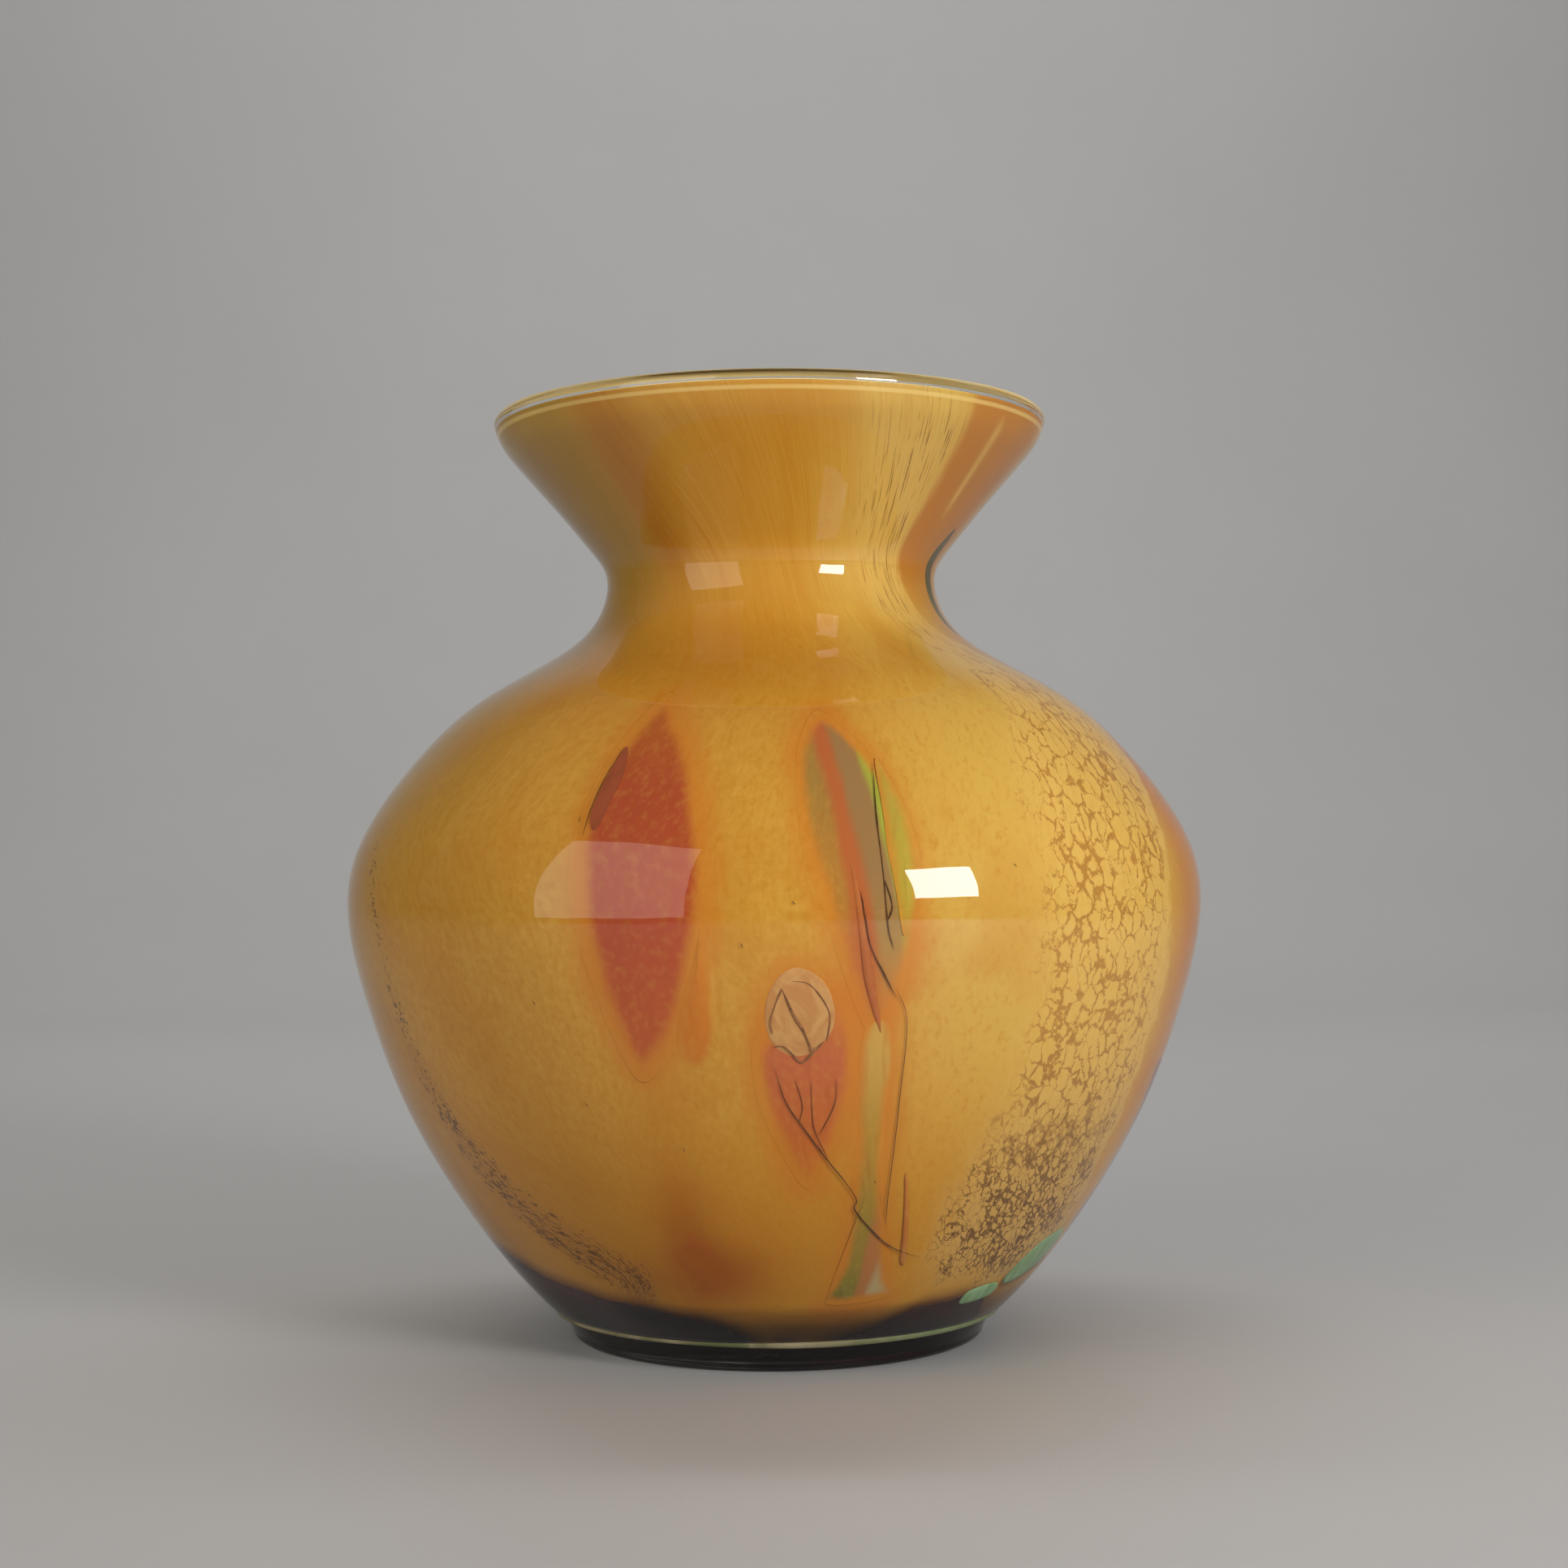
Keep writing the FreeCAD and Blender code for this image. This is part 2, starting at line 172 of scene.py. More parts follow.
# ---------------------------------------------------------------- outlines, (angle, level)
OUTLINES = {
    "red_petal": ((-18.0, 1.62), (-14.3, 1.54), (-11.7, 1.45), (-9.6, 1.31), (-8.6, 1.14),
                  (-9.1, 0.97), (-10.8, 0.86), (-12.7, 0.77), (-17.0, 0.69), (-19.6, 0.76),
                  (-21.7, 0.92), (-23.0, 1.12), (-23.6, 1.30), (-22.2, 1.48)),
    "orange_lobe": ((-8.2, 1.03), (-7.3, 0.88), (-7.1, 0.78), (-8.3, 0.71), (-10.5, 0.69),
                    (-12.2, 0.73), (-12.0, 0.79), (-10.6, 0.87), (-9.2, 0.96)),
    "green_petal": ((7, 1.57), (11, 1.51), (14, 1.41), (15.5, 1.25), (16, 1.05), (15, 0.88),
                    (12, 0.78), (9, 0.88), (7, 1.02), (4.5, 1.25), (4, 1.45)),
    "honey_seed": ((3, 0.90), (6, 0.86), (7, 0.78), (5, 0.72), (2, 0.71), (-0.5, 0.75),
                   (-1, 0.82), (0.5, 0.88)),
    "rose_drop": ((7, 0.83), (9, 0.75), (9, 0.63), (7.5, 0.51), (4.5, 0.42), (1, 0.51),
                  (-1.5, 0.65), (-1, 0.75)),
    "green_stem": ((12.5, 0.80), (14.5, 0.72), (14.6, 0.57), (15.5, 0.37), (20, 0.16), (22, 0.12),
                   (10, 0.11), (12, 0.18), (12.2, 0.37), (11.3, 0.57), (10.8, 0.72)),
    "straw_crackle": ((20, 2.88), (33, 2.96), (45, 2.88), (48, 2.52), (51, 2.08), (60, 1.82),
                      (76, 1.62), (71, 1.43), (64, 1.27), (60, 1.02), (63, 0.75), (63, 0.51),
                      (64, 0.20), (48, 0.13), (30, 0.16), (27, 0.34), (33, 0.75), (33, 0.98),
                      (33, 1.23), (36, 1.45), (42, 1.65), (40, 1.84), (30, 1.98), (23, 2.40)),
    "burgundy_wash": ((73, 0.63), (82, 0.57), (84, 0.35), (78, 0.19), (72, 0.23), (75, 0.41)),
    "olive_slip": ((74, 2.34), (77, 2.28), (77, 2.08), (75, 1.88), (71, 1.88), (69.5, 2.10)),
    "mint_chip_upper": ((58, 0.20), (67, 0.22), (69, 0.15), (58, 0.10), (53, 0.12)),
    "mint_chip_lower": ((43, 0.10), (51, 0.11), (52, 0.075), (43, 0.065)),
    "smoke_lens": ((-21.5, 1.50), (-22.8, 1.42), (-23.5, 1.31), (-22.4, 1.27), (-21.4, 1.34),
                   (-20.6, 1.43)),
    "lime_edge": ((14.2, 1.45), (15.9, 1.38), (16.9, 1.28), (17.2, 1.15), (16.4, 1.04),
                  (15.1, 0.98), (14.2, 1.11), (13.8, 1.26)),
}
PEACH_STEM = ((19, 0.43), (21, 0.31), (23, 0.19))
PETAL_VEIN = ((8, 1.49), (8.5, 1.30), (9.5, 1.09), (11, 0.89), (13, 0.76))
SEED_CRACKS = (
    ((0.8, 0.860), (1.7, 0.820), (2.4, 0.795), (3.3, 0.770), (4.2, 0.735), (4.7, 0.726),
     (6.0, 0.745)),
    ((0.8, 0.860), (0.0, 0.825), (-0.6, 0.790), (-0.4, 0.762)),
    ((-0.4, 0.734), (0.8, 0.735), (1.8, 0.722), (3.1, 0.699), (4.3, 0.715), (4.7, 0.728)),
    ((4.6, 0.860), (6.0, 0.825), (6.6, 0.795), (6.3, 0.745)),
    ((2.0, 0.875), (3.6, 0.872), (4.6, 0.860)),
)
SEED_CRACK_WIDTHS = ((0.16, 0.34, 0.42, 0.24, 0.48, 0.12), (0.24, 0.12, 0.26), (0.10, 0.22, 0.34),
                     (0.20, 0.10, 0.18), (0.06, 0.16))
THREADS = (
    ((13.7, 1.45), (12.8, 1.30), (12.8, 1.14), (13.2, 1.00), (14, 0.94)),
    ((12.9, 1.12), (13.7, 1.05), (13.2, 1.01)),
    ((10.0, 1.09), (10.5, 1.02), (11.2, 0.95), (13, 0.885), (14.6, 0.835)),
    ((-0.2, 0.69), (1.2, 0.61), (3.9, 0.54), (7.3, 0.465), (10, 0.414), (12, 0.37), (12.2, 0.34),
     (17, 0.27), (21, 0.235), (26, 0.21)),
)
HAIRS = (
    ((14.4, 0.86), (16.2, 0.78), (16.3, 0.60), (16.8, 0.40), (17.6, 0.30)),
    ((4.4, 0.66), (4.8, 0.567), (5.4, 0.53), (7.2, 0.47)),
    ((7.7, 0.66), (7.6, 0.60), (5.8, 0.53)),
    ((2.4, 0.66), (3.4, 0.60), (3.0, 0.56)),
    ((-21.7, 1.50), (-23.0, 1.42), (-23.7, 1.33), (-23.9, 1.25)),
    ((-25.0, 1.31), (-24.8, 1.29)), ((-3.9, 0.962), (-3.7, 0.950)), ((2.0, 1.065), (2.4, 1.055)),
    ((-26.0, 0.60), (-25.8, 0.592)), ((-31.0, 0.83), (-30.8, 0.82)), ((30.0, 1.16), (30.2, 1.15)),
    ((-13.0, 0.50), (-12.8, 0.49)),
)
FLECK_LINE = ((-66, 1.28), (-61, 0.98), (-59, 0.72), (-55, 0.52), (-47, 0.35), (-38, 0.25),
              (-28, 0.17))


def closed_curve(points, per_span=12):
    """Smooth closed curve through points (Catmull-Rom), as an array of rows."""
    p = np.array(points, float)
    before, after, later = np.roll(p, 1, 0), np.roll(p, -1, 0), np.roll(p, -2, 0)
    t = np.linspace(0, 1, per_span, endpoint=False)[None, :, None]
    a, b, c, d = (q[:, None, :] for q in (before, p, after, later))
    curve = 0.5 * (2 * b + (c - a) * t + (2 * a - 5 * b + 4 * c - d) * t ** 2
                   + (3 * b - a - 3 * c + d) * t ** 3)
    return curve.reshape(-1, p.shape[1])


def open_curve(points, count):
    """Smooth open curve through points (Catmull-Rom), at evenly spread parameters."""
    p = np.array(points, float)
    p = np.concatenate([[2 * p[0] - p[1]], p, [2 * p[-1] - p[-2]]])
    at = np.linspace(0, len(points) - 1, count)
    k = np.minimum(at.astype(int), len(points) - 2)
    t = (at - k)[:, None]
    a, b, c, d = p[k], p[k + 1], p[k + 2], p[k + 3]
    return 0.5 * (2 * b + (c - a) * t + (2 * a - 5 * b + 4 * c - d) * t ** 2
                  + (3 * b - a - 3 * c + d) * t ** 3)


def chart(angle, level, middle_angle, radius):
    """Flat millimetre coordinates near a place: across and along the wall."""
    return np.column_stack([np.radians(angle - middle_angle) * radius, path_at(level)])


def signed_distance(angle, level, outline):
    """Millimetres inside an outline (positive) or outside it (negative), cut off at 40."""
    ring = closed_curve(outline)
    middle = (ring[:, 0].min() + ring[:, 0].max()) / 2
    radius, _ = wall(ring[:, 1].mean(), 0)
    corner = chart(ring[:, 0], ring[:, 1], middle, radius)
    spot = chart(angle, level, middle, radius)
    result = np.full(len(spot), -40.0)
    low, high = corner.min(0) - 40, corner.max(0) + 40
    near = np.all((spot > low) & (spot < high), axis=1)
    spot = spot[near]
    best = np.full(len(spot), 1e9)
    inside = np.zeros(len(spot), bool)
    for a, b in zip(corner, np.roll(corner, -1, 0)):
        edge = b - a
        t = np.clip(((spot - a) @ edge) / (edge @ edge + 1e-12), 0, 1)
        best = np.minimum(best, np.hypot(*(spot - a - t[:, None] * edge).T))
        crosses = (a[1] > spot[:, 1]) != (b[1] > spot[:, 1])
        x_at = a[0] + (spot[:, 1] - a[1]) * edge[0] / (edge[1] if edge[1] else 1e-9)
        inside ^= crosses & (spot[:, 0] < x_at)
    result[near] = np.where(inside, best, -best)
    return np.clip(result, -40, 40)


def line_distance(angle, level, route):
    """Millimetres from a route of (angle, level) points, cut off at 40."""
    line = open_curve(route, 12 * len(route))
    middle = (line[:, 0].min() + line[:, 0].max()) / 2
    radius, _ = wall(line[:, 1].mean(), 0)
    corner = chart(line[:, 0], line[:, 1], middle, radius)
    spot = chart(angle, level, middle, radius)
    best = np.full(len(spot), 40.0)
    for a, b in zip(corner[:-1], corner[1:]):
        edge = b - a
        t = np.clip(((spot - a) @ edge) / (edge @ edge + 1e-12), 0, 1)
        best = np.minimum(best, np.hypot(*(spot - a - t[:, None] * edge).T))
    return best


def bump(x, middle, width):
    """A smooth hill of height 1, width being where it has fallen to a third."""
    return np.exp(-((x - middle) / width) ** 2)


def turned(angle, middle):
    """Degrees from a middle angle, the shorter way round."""
    return (angle - middle + 180) % 360 - 180


def smooth(x, low, high):
    t = np.clip((x - low) / (high - low), 0, 1)
    return t * t * (3 - 2 * t)


# ---------------------------------------------------------------- attributes of the colour layer
HALOED = ("red_petal", "green_petal", "honey_seed", "rose_drop", "green_stem")
SOFT = HALOED + ("orange_lobe", "lime_edge")
POOL_EDGE = ((-180, 24), (-120, 32), (-85, 31), (-71, 28), (-45, 21), (-34, 18.5), (-18, 16),
             (-9, 13.4), (-3, 11.6), (17, 11.4), (23, 13.6), (31, 17.5), (42, 19), (54, 15),
             (66, 12), (90, 12), (120, 15), (180, 24))


def pool_edge(angle):
    """Height of the dark pool's upper edge, in millimetres."""
    angles, heights = np.array(POOL_EDGE, float).T
    turn = np.radians(angle)
    return np.interp(angle, angles, heights) + 0.4 * np.sin(9 * turn) + 0.3 * np.sin(23 * turn + 1)


def flow_coordinates(angle, level):
    """Coordinates that are stretched and twisted as the glass was: one turn is one circle."""
    stretch = np.interp(TABLE_LEVELS, (0, 0.3, 1.0, 1.6, 2.0, 2.5, 3.0),
                        (0.95, 0.85, 0.80, 0.55, 0.24, 0.22, 0.25))
    along = np.concatenate(([0], np.cumsum(np.diff(TABLE_PATH) * stretch[1:])))
    twist = np.interp(level, (0, 0.5, 1.2, 1.7, 2.0, 3.0), (10, 2, 0, 6, 0, -14))
    left_angles, left_levels = np.array(FLECK_LINE[::-1], float).T
    lean = ((np.interp(level, left_levels, left_angles) + 60) * smooth(-angle, 15, 35)
            * smooth(angle + 180, 0, 70))
    turn = np.radians(angle - twist - lean)
    return np.column_stack([100 * np.cos(turn), 100 * np.sin(turn),
                            np.interp(level, TABLE_LEVELS, along)])


def layer_attributes(angle, level):
    """Per-vertex masks and coordinates that the colour materials read."""
    height = height_at(level)
    masks = {"straw": signed_distance(angle, level, OUTLINES["straw_crackle"])}
    for name in SOFT:
        masks[name] = signed_distance(angle, level, OUTLINES[name])
    masks["fleck_band"] = line_distance(angle, level, FLECK_LINE)
    masks["olive"] = np.clip(
        bump(turned(angle, -80), 0, 30) * smooth(level, 0.6, 1.5)
        + 0.8 * bump(angle, -64, 22) * smooth(level, 1.7, 2.3)
        + 0.5 * bump(turned(angle, 150), 0, 60), 0, 1)
    masks["warm"] = np.clip(
        0.7 * bump(level, 1.72, 0.20) * bump(angle, -14, 40)
        + 0.3 * bump(angle, -4, 16) * smooth(level, 1.7, 2.3)
        + 0.9 * bump(level, 0.26, 0.16) * bump(angle, -9, 17)
        + bump(angle, -16, 5) * bump(level, 0.45, 0.30) * 0.5, 0, 1)
    masks["orange_side"] = np.clip(
        smooth(angle, 58, 70) * smooth(125 - angle, 0, 40) * smooth(level, 0.25, 0.7)
        * smooth(2.0 - level, 0, 0.4), 0, 1)
    masks["pale_right"] = (smooth(angle, 6, 30) * smooth(75 - angle, 0, 15)
                           * smooth(level, 0.25, 0.8))
    masks["blush"] = np.clip(bump(level, 0.20, 0.08) * bump(angle, -12, 12)
                             + 0.6 * bump(level, 0.30, 0.14) * bump(angle, -15, 5), 0, 1)
    masks["neck_red"] = np.clip(
        bump(angle + 35, 0, 8) * smooth(level, 1.75, 2.3)
        + 0.7 * bump(turned(angle, 120), 0, 25) * smooth(level, 1.95, 2.3), 0, 1)
    masks["neck"] = smooth(level, 1.6, 2.1)
    masks["orange_band"] = (smooth(angle, 46.5 - 4 * (level - 2.5), 48.5 - 4 * (level - 2.5))
                            * smooth(86 - angle, 0, 10) * smooth(level, 1.75, 2.15))
    masks["sliver"] = (bump(angle, 58 + 7 * (2.75 - level), 1.3) * smooth(level, 2.35, 2.5)
                       * smooth(2.9 - level, 0, 0.1))
    # painted shade: the colour layer darkens towards the bottom, standing in for the light that
    # falls off low down
    masks["painted_low_shade"] = smooth(0.85 - level, 0, 0.75)
    masks["pool_near"] = height - pool_edge(angle)
    masks["height"] = height
    masks["angle"] = angle
    return masks, flow_coordinates(angle, level)


def add_float(mesh, name, values):
    attribute = mesh.attributes.new(name, "FLOAT", "POINT")
    attribute.data.foreach_set("value", np.asarray(values, np.float32))


def add_vector(mesh, name, values):
    attribute = mesh.attributes.new(name, "FLOAT_VECTOR", "POINT")
    attribute.data.foreach_set("vector", np.asarray(values, np.float32).ravel())


def add_layer_attributes(mesh, angle, level):
    masks, flow = layer_attributes(angle, level)
    for name, values in masks.items():
        add_float(mesh, name, values)
    add_vector(mesh, "flow", flow)


# ---------------------------------------------------------------- meshes
def face_outwards(mesh):
    whole = bmesh.new()
    whole.from_mesh(mesh)
    bmesh.ops.recalc_face_normals(whole, faces=whole.faces)
    whole.to_mesh(mesh)
    whole.free()


def make_object(name, points_mm, faces, material, attributes=None, closed=False):
    mesh = bpy.data.meshes.new(name)
    mesh.from_pydata((np.asarray(points_mm) * MM).tolist(), [], faces)
    if closed:
        face_outwards(mesh)
    mesh.materials.append(material)
    mesh.polygons.foreach_set("use_smooth", [True] * len(mesh.polygons))
    if attributes is not None:
        add_layer_attributes(mesh, *attributes)
    mesh.update()
    piece = bpy.data.objects.new(name, mesh)
    bpy.context.scene.collection.objects.link(piece)
    return piece


def on_wall(angle, radius, height):
    """Points round the axis, in millimetres, as rows of x, y and z."""
    turn = np.radians(angle)
    return np.column_stack([radius * np.sin(turn), -radius * np.cos(turn), height])


ON_AXIS = 1e-6


def lathe(name, profile, segments, material, with_layer=False):
    """A surface of revolution from (radius, height) rows; rows on the axis become one vertex."""
    profile = np.asarray(profile, float)
    angles = -180 + 360 * np.arange(segments) / segments
    points, starts, counts, angle_list, level_list = [], [], [], [], []
    total = 0
    for radius, height in profile:
        ring_angles = np.zeros(1) if radius < ON_AXIS else angles
        points.append(on_wall(ring_angles, radius, np.full(len(ring_angles), height)))
        starts.append(total)
        counts.append(len(ring_angles))
        total += len(ring_angles)
        angle_list.append(ring_angles)
        level_list.append(np.full(len(ring_angles), float(level_at(height))))
    faces = []
    for low in range(len(profile) - 1):
        high = low + 1
        a, b = starts[low], starts[high]
        for k in range(segments):
            after = (k + 1) % segments
            if counts[low] == 1:
                faces.append((a, b + after, b + k))
            elif counts[high] == 1:
                faces.append((a + k, a + after, b))
            else:
                faces.append((a + k, a + after, b + after, b + k))
    attributes = (np.concatenate(angle_list), np.concatenate(level_list)) if with_layer else None
    return make_object(name, np.concatenate(points), faces, material, attributes)


def pad(name, outline, thickness, material, grow=0.0, above=0.0, crisp=False):
    """A thin lens of glass on the colour layer, inside a smooth outline grown by some mm.

    Its top is a crown, round at the edge if crisp and thinning to nothing if not, and its
    bottom is sunk into what it lies on.
    """
    rings, skirt, sunk = 14, 0.02, 0.3
    ring = closed_curve(outline, 8)
    middle = ring.mean(0)
    reach = ring - middle
    radius, _ = wall(middle[1], 0)
    size = np.hypot(np.radians(reach[:, 0]) * radius, path_at(ring[:, 1]) - path_at(middle[1]))
    reach = reach * (1 + grow / np.maximum(size, 1e-6))[:, None]
    count = len(ring)
    points, angles, levels, faces = [], [], [], []

    def layer(lift_of):
        start = sum(len(p) for p in points)
        for k in range(rings + 1):
            share = math.sin(math.pi / 2 * k / rings)
            place = middle + reach * share if k else middle[None, :]
            level = np.clip(place[:, 1], 0.02, 2.99)
            depth = casing_depth(level) - above - lift_of(share)
            points.append(on_wall(place[:, 0], *wall(level, depth)))
            angles.append(place[:, 0])
            levels.append(level)
        return start

    def skin(start, flip):
        for k in range(count):
            after = (k + 1) % count
            face = (start, start + 1 + k, start + 1 + after)
            faces.append(face[::-1] if flip else face)
        for ring_index in range(1, rings):
            a = start + 1 + (ring_index - 1) * count
            b = a + count
            for k in range(count):
                after = (k + 1) % count
                face = (a + k, b + k, b + after, a + after)
                faces.append(face[::-1] if flip else face)

    def crown(share):
        if crisp:
            return thickness * math.sqrt(max(0.0, 1 - share ** 4)) + skirt
        return thickness * (1 - share * share) ** 1.5 + skirt

    top = layer(crown)
    bottom = layer(lambda share: -sunk)
    skin(top, True)
    skin(bottom, False)
    a = top + 1 + (rings - 1) * count
    b = bottom + 1 + (rings - 1) * count
    for k in range(count):
        after = (k + 1) % count
        faces.append((a + k, a + after, b + after, b + k))
    return make_object(name, np.concatenate(points), faces, material,
                       (np.concatenate(angles), np.concatenate(levels)), closed=True)


def trail(name, routes, material, above):
    """Round threads lying on the colour layer; each route is (points, radii)."""
    sides, samples, thinnest, flatness = 8, 14, 0.02, 0.6
    points, faces, angles, levels = [], [], [], []
    total = 0
    for route, radii in routes:
        count = samples * (len(route) - 1) + 1
        line = open_curve(route, count)
        thick = np.interp(np.linspace(0, 1, count), np.linspace(0, 1, len(radii)), radii)
        # over the first and last twelfth the thread rounds off to its end
        from_end = np.minimum(np.linspace(0, 12, count), np.linspace(12, 0, count))
        thick = np.maximum(thick * np.sqrt(np.clip(from_end, 0.02, 1)), thinnest)
        radius, height = wall(line[:, 1], casing_depth(line[:, 1]) - above)
        centre = on_wall(line[:, 0], radius, height)
        way = np.gradient(centre, axis=0)
        way /= np.linalg.norm(way, axis=1)[:, None]
        turn = np.radians(line[:, 0])
        out = np.column_stack([np.sin(turn), -np.cos(turn), np.zeros(count)])
        side = np.cross(way, out)
        side /= np.linalg.norm(side, axis=1)[:, None]
        out = np.cross(side, way)
        for k in range(sides):
            around = 2 * math.pi * k / sides
            reach = math.cos(around) * side + flatness * math.sin(around) * out
            points.append(centre + thick[:, None] * reach)
            angles.append(line[:, 0])
            levels.append(line[:, 1])
        for k in range(sides):
            a = total + k * count
            b = total + ((k + 1) % sides) * count
            for j in range(count - 1):
                faces.append((a + j, b + j, b + j + 1, a + j + 1))
        faces.append(tuple(total + k * count for k in range(sides))[::-1])
        faces.append(tuple(total + k * count + count - 1 for k in range(sides)))
        total += sides * count
    return make_object(name, np.concatenate(points), faces, material,
                       (np.concatenate(angles), np.concatenate(levels)), closed=True)


# ---------------------------------------------------------------- materials
class Nodes:
    """Short calls for building one material's nodes."""

    def __init__(self, name):
        self.material = bpy.data.materials.new(name)
        self.material.use_nodes = True
        self.tree = self.material.node_tree
        self.tree.nodes.clear()
        self.out = self.tree.nodes.new("ShaderNodeOutputMaterial")

    def node(self, kind, inputs=None, **settings):
        made = self.tree.nodes.new("ShaderNode" + kind)
        for key, value in settings.items():
            setattr(made, key, value)
        for key, value in (inputs or {}).items():
            if value is None:
                continue
            socket = made.inputs[key]
            if isinstance(value, bpy.types.NodeSocket):
                self.tree.links.new(value, socket)
            else:
                socket.default_value = value
        return made

    def attribute(self, name, kind="Fac"):
        return self.node("Attribute", attribute_name=name).outputs[kind]

    def scaled(self, vector, scale):
        return self.node("Mapping", {"Vector": vector, "Scale": scale}).outputs[0]

    def flow(self, across=1.0, along=1.0):
        return self.scaled(self.attribute("flow", "Vector"), (across, across, along))

    def place(self):
        return self.node("TexCoord").outputs["Object"]

    def noise(self, vector, scale, detail=4.0, roughness=0.55, distortion=0.0, kind="Fac"):
        return self.node("TexNoise", {
            "Vector": vector, "Scale": scale, "Detail": detail, "Roughness": roughness,
            "Distortion": distortion}).outputs[kind]

    def wander(self, across, along, scale, detail=4.0, roughness=0.55):
        """Noise along the flow, as an offset to either side of nothing."""
        drift = self.noise(self.flow(across, along), scale, detail, roughness)
        return self.math("SUBTRACT", drift, 0.5)

    def math(self, operation, a, b):
        return self.node("Math", {0: a, 1: b}, operation=operation).outputs[0]

    def times(self, a, b):
        return self.math("MULTIPLY", a, b)

    def between(self, share, a, b):
        """A plain number from a to b by share."""
        return self.node("Mix", {"Factor": share, 2: a, 3: b}, data_type="FLOAT").outputs[0]

    def span(self, value, low, high, start=0.0, end=1.0):
        """start below low, end above high, and a smooth step between them."""
        return self.node("MapRange", {"Value": value, "From Min": low, "From Max": high,
                                      "To Min": start, "To Max": end},
                         interpolation_type="SMOOTHSTEP").outputs[0]

    def mix(self, share, a, b, blend="MIX"):
        made = self.node("Mix", {"Factor": share}, data_type="RGBA", blend_type=blend)
        for socket, value in ((made.inputs[6], a), (made.inputs[7], b)):
            if isinstance(value, bpy.types.NodeSocket):
                self.tree.links.new(value, socket)
            else:
                socket.default_value = (*value, 1.0)
        return made.outputs[2]

    def add(self, a, b, share):
        """a plus share times b."""
        return self.math("ADD", a, self.times(b, share))

    def tint(self, colour, mask, share, shade):
        """colour turned to shade where the mask says, up to the share."""
        return self.mix(self.times(mask, share), colour, shade)

    def finish(self, shader):
        self.tree.links.new(shader, self.out.inputs["Surface"])
        return self.material


AMBER = (0.560, 0.290, 0.036)
AMBER_LIGHT = (0.62, 0.350, 0.058)
AMBER_DEEP = (0.50, 0.205, 0.015)
AMBER_RIGHT = (0.60, 0.385, 0.074)
OLIVE = (0.37, 0.220, 0.028)
WARM = (0.52, 0.195, 0.010)
# painted shade: darker, redder amber laid towards the bottom, where less light falls
LOW_PAINTED_SHADE = (0.52, 0.222, 0.008)
BLUSH = (0.36, 0.085, 0.005)
STRAW = (0.66, 0.425, 0.105)
STRAW_LOW = (0.58, 0.350, 0.095)
GAP = (0.40, 0.190, 0.035)
GAP_LOW = (0.115, 0.045, 0.016)
HALO = (0.57, 0.190, 0.018)
SIDE = (0.50, 0.170, 0.022)
FLECK = (0.12, 0.048, 0.012)
FLECK_GROUND = (0.30, 0.130, 0.045)
NECK_RED = (0.44, 0.150, 0.014)
ORANGE_BAND = (0.47, 0.180, 0.024)
NECK_GAP = (0.22, 0.105, 0.020)
POOL_SHADE = (0.10, 0.018, 0.006)
LIP_LINE = (0.80, 0.58, 0.20)
HALO_WIDTH = 8.0
# the cream line under the lip: millimetres under the rim where it starts, is full, and ends
LIP_LINE_FADE_IN, LIP_LINE_FULL = (4.6, 4.2), (3.7, 3.3)


def amber_base(m):
    """The powder colour with its mottling, its fibres, the broad tints round the vase and painted
    shade low down.
    """
    flow = m.flow()
    fine = m.noise(m.flow(1, 0.95), 0.62, 6, 0.66)
    fibre = m.noise(m.flow(2.2, 0.30), 0.42, 6, 0.66, 0.4)
    broad = m.noise(flow, 0.05, 3, 0.5)
    neck = m.attribute("neck")
    grain = m.between(m.span(neck, 0, 1, 0.25, 0.85), fine, fibre)
    colour = m.tint(AMBER, m.span(grain, 0.44, 0.66), 0.75, AMBER_LIGHT)
    colour = m.tint(colour, m.attribute("pale_right"), 0.85, AMBER_RIGHT)
    colour = m.tint(colour, m.span(grain, 0.50, 0.32), 0.55, AMBER_DEEP)
    colour = m.tint(colour, m.span(broad, 0.48, 0.64), 0.30, AMBER_DEEP)
    colour = m.tint(colour, m.attribute("olive"), 0.8, OLIVE)
    warm = m.times(m.attribute("warm"), m.span(fibre, 0.3, 0.6, 0.45, 1.0))
    colour = m.tint(colour, warm, 0.8, WARM)
    red = m.times(m.attribute("neck_red"), m.span(fibre, 0.36, 0.60, 0.25, 1.0))
    colour = m.tint(colour, red, 0.7, NECK_RED)
    side = m.times(m.attribute("orange_side"), m.span(broad, 0.3, 0.5, 0.75, 1.0))
    colour = m.tint(colour, side, 0.85, SIDE)
    band = m.times(m.attribute("orange_band"), m.span(fibre, 0.30, 0.5, 0.8, 1.0))
    colour = m.tint(colour, band, 0.92, ORANGE_BAND)
    # painted shade: the body turns darker and redder towards the bottom, where less light falls;
    # the fine grain lets a little plain amber back through it
    colour = m.tint(colour, m.attribute("painted_low_shade"), 0.7, LOW_PAINTED_SHADE)
    grainy = m.span(fine, 0.42, 0.62, 0, 0.22)
    colour = m.mix(m.times(m.attribute("painted_low_shade"), grainy), colour, AMBER)
    blush = m.times(m.attribute("blush"), m.span(broad, 0.35, 0.55, 0.6, 1.0))
    colour = m.tint(colour, blush, 0.85, BLUSH)
    return colour, fine


def halo(m, colour, name):
    """An orange glow round one bit, densest at its edge."""
    distance = m.add(m.attribute(name), m.wander(1, 0.6, 0.12, 3), 6.0)
    return m.mix(m.span(distance, -HALO_WIDTH, 0.5, 0, 0.7), colour, HALO)


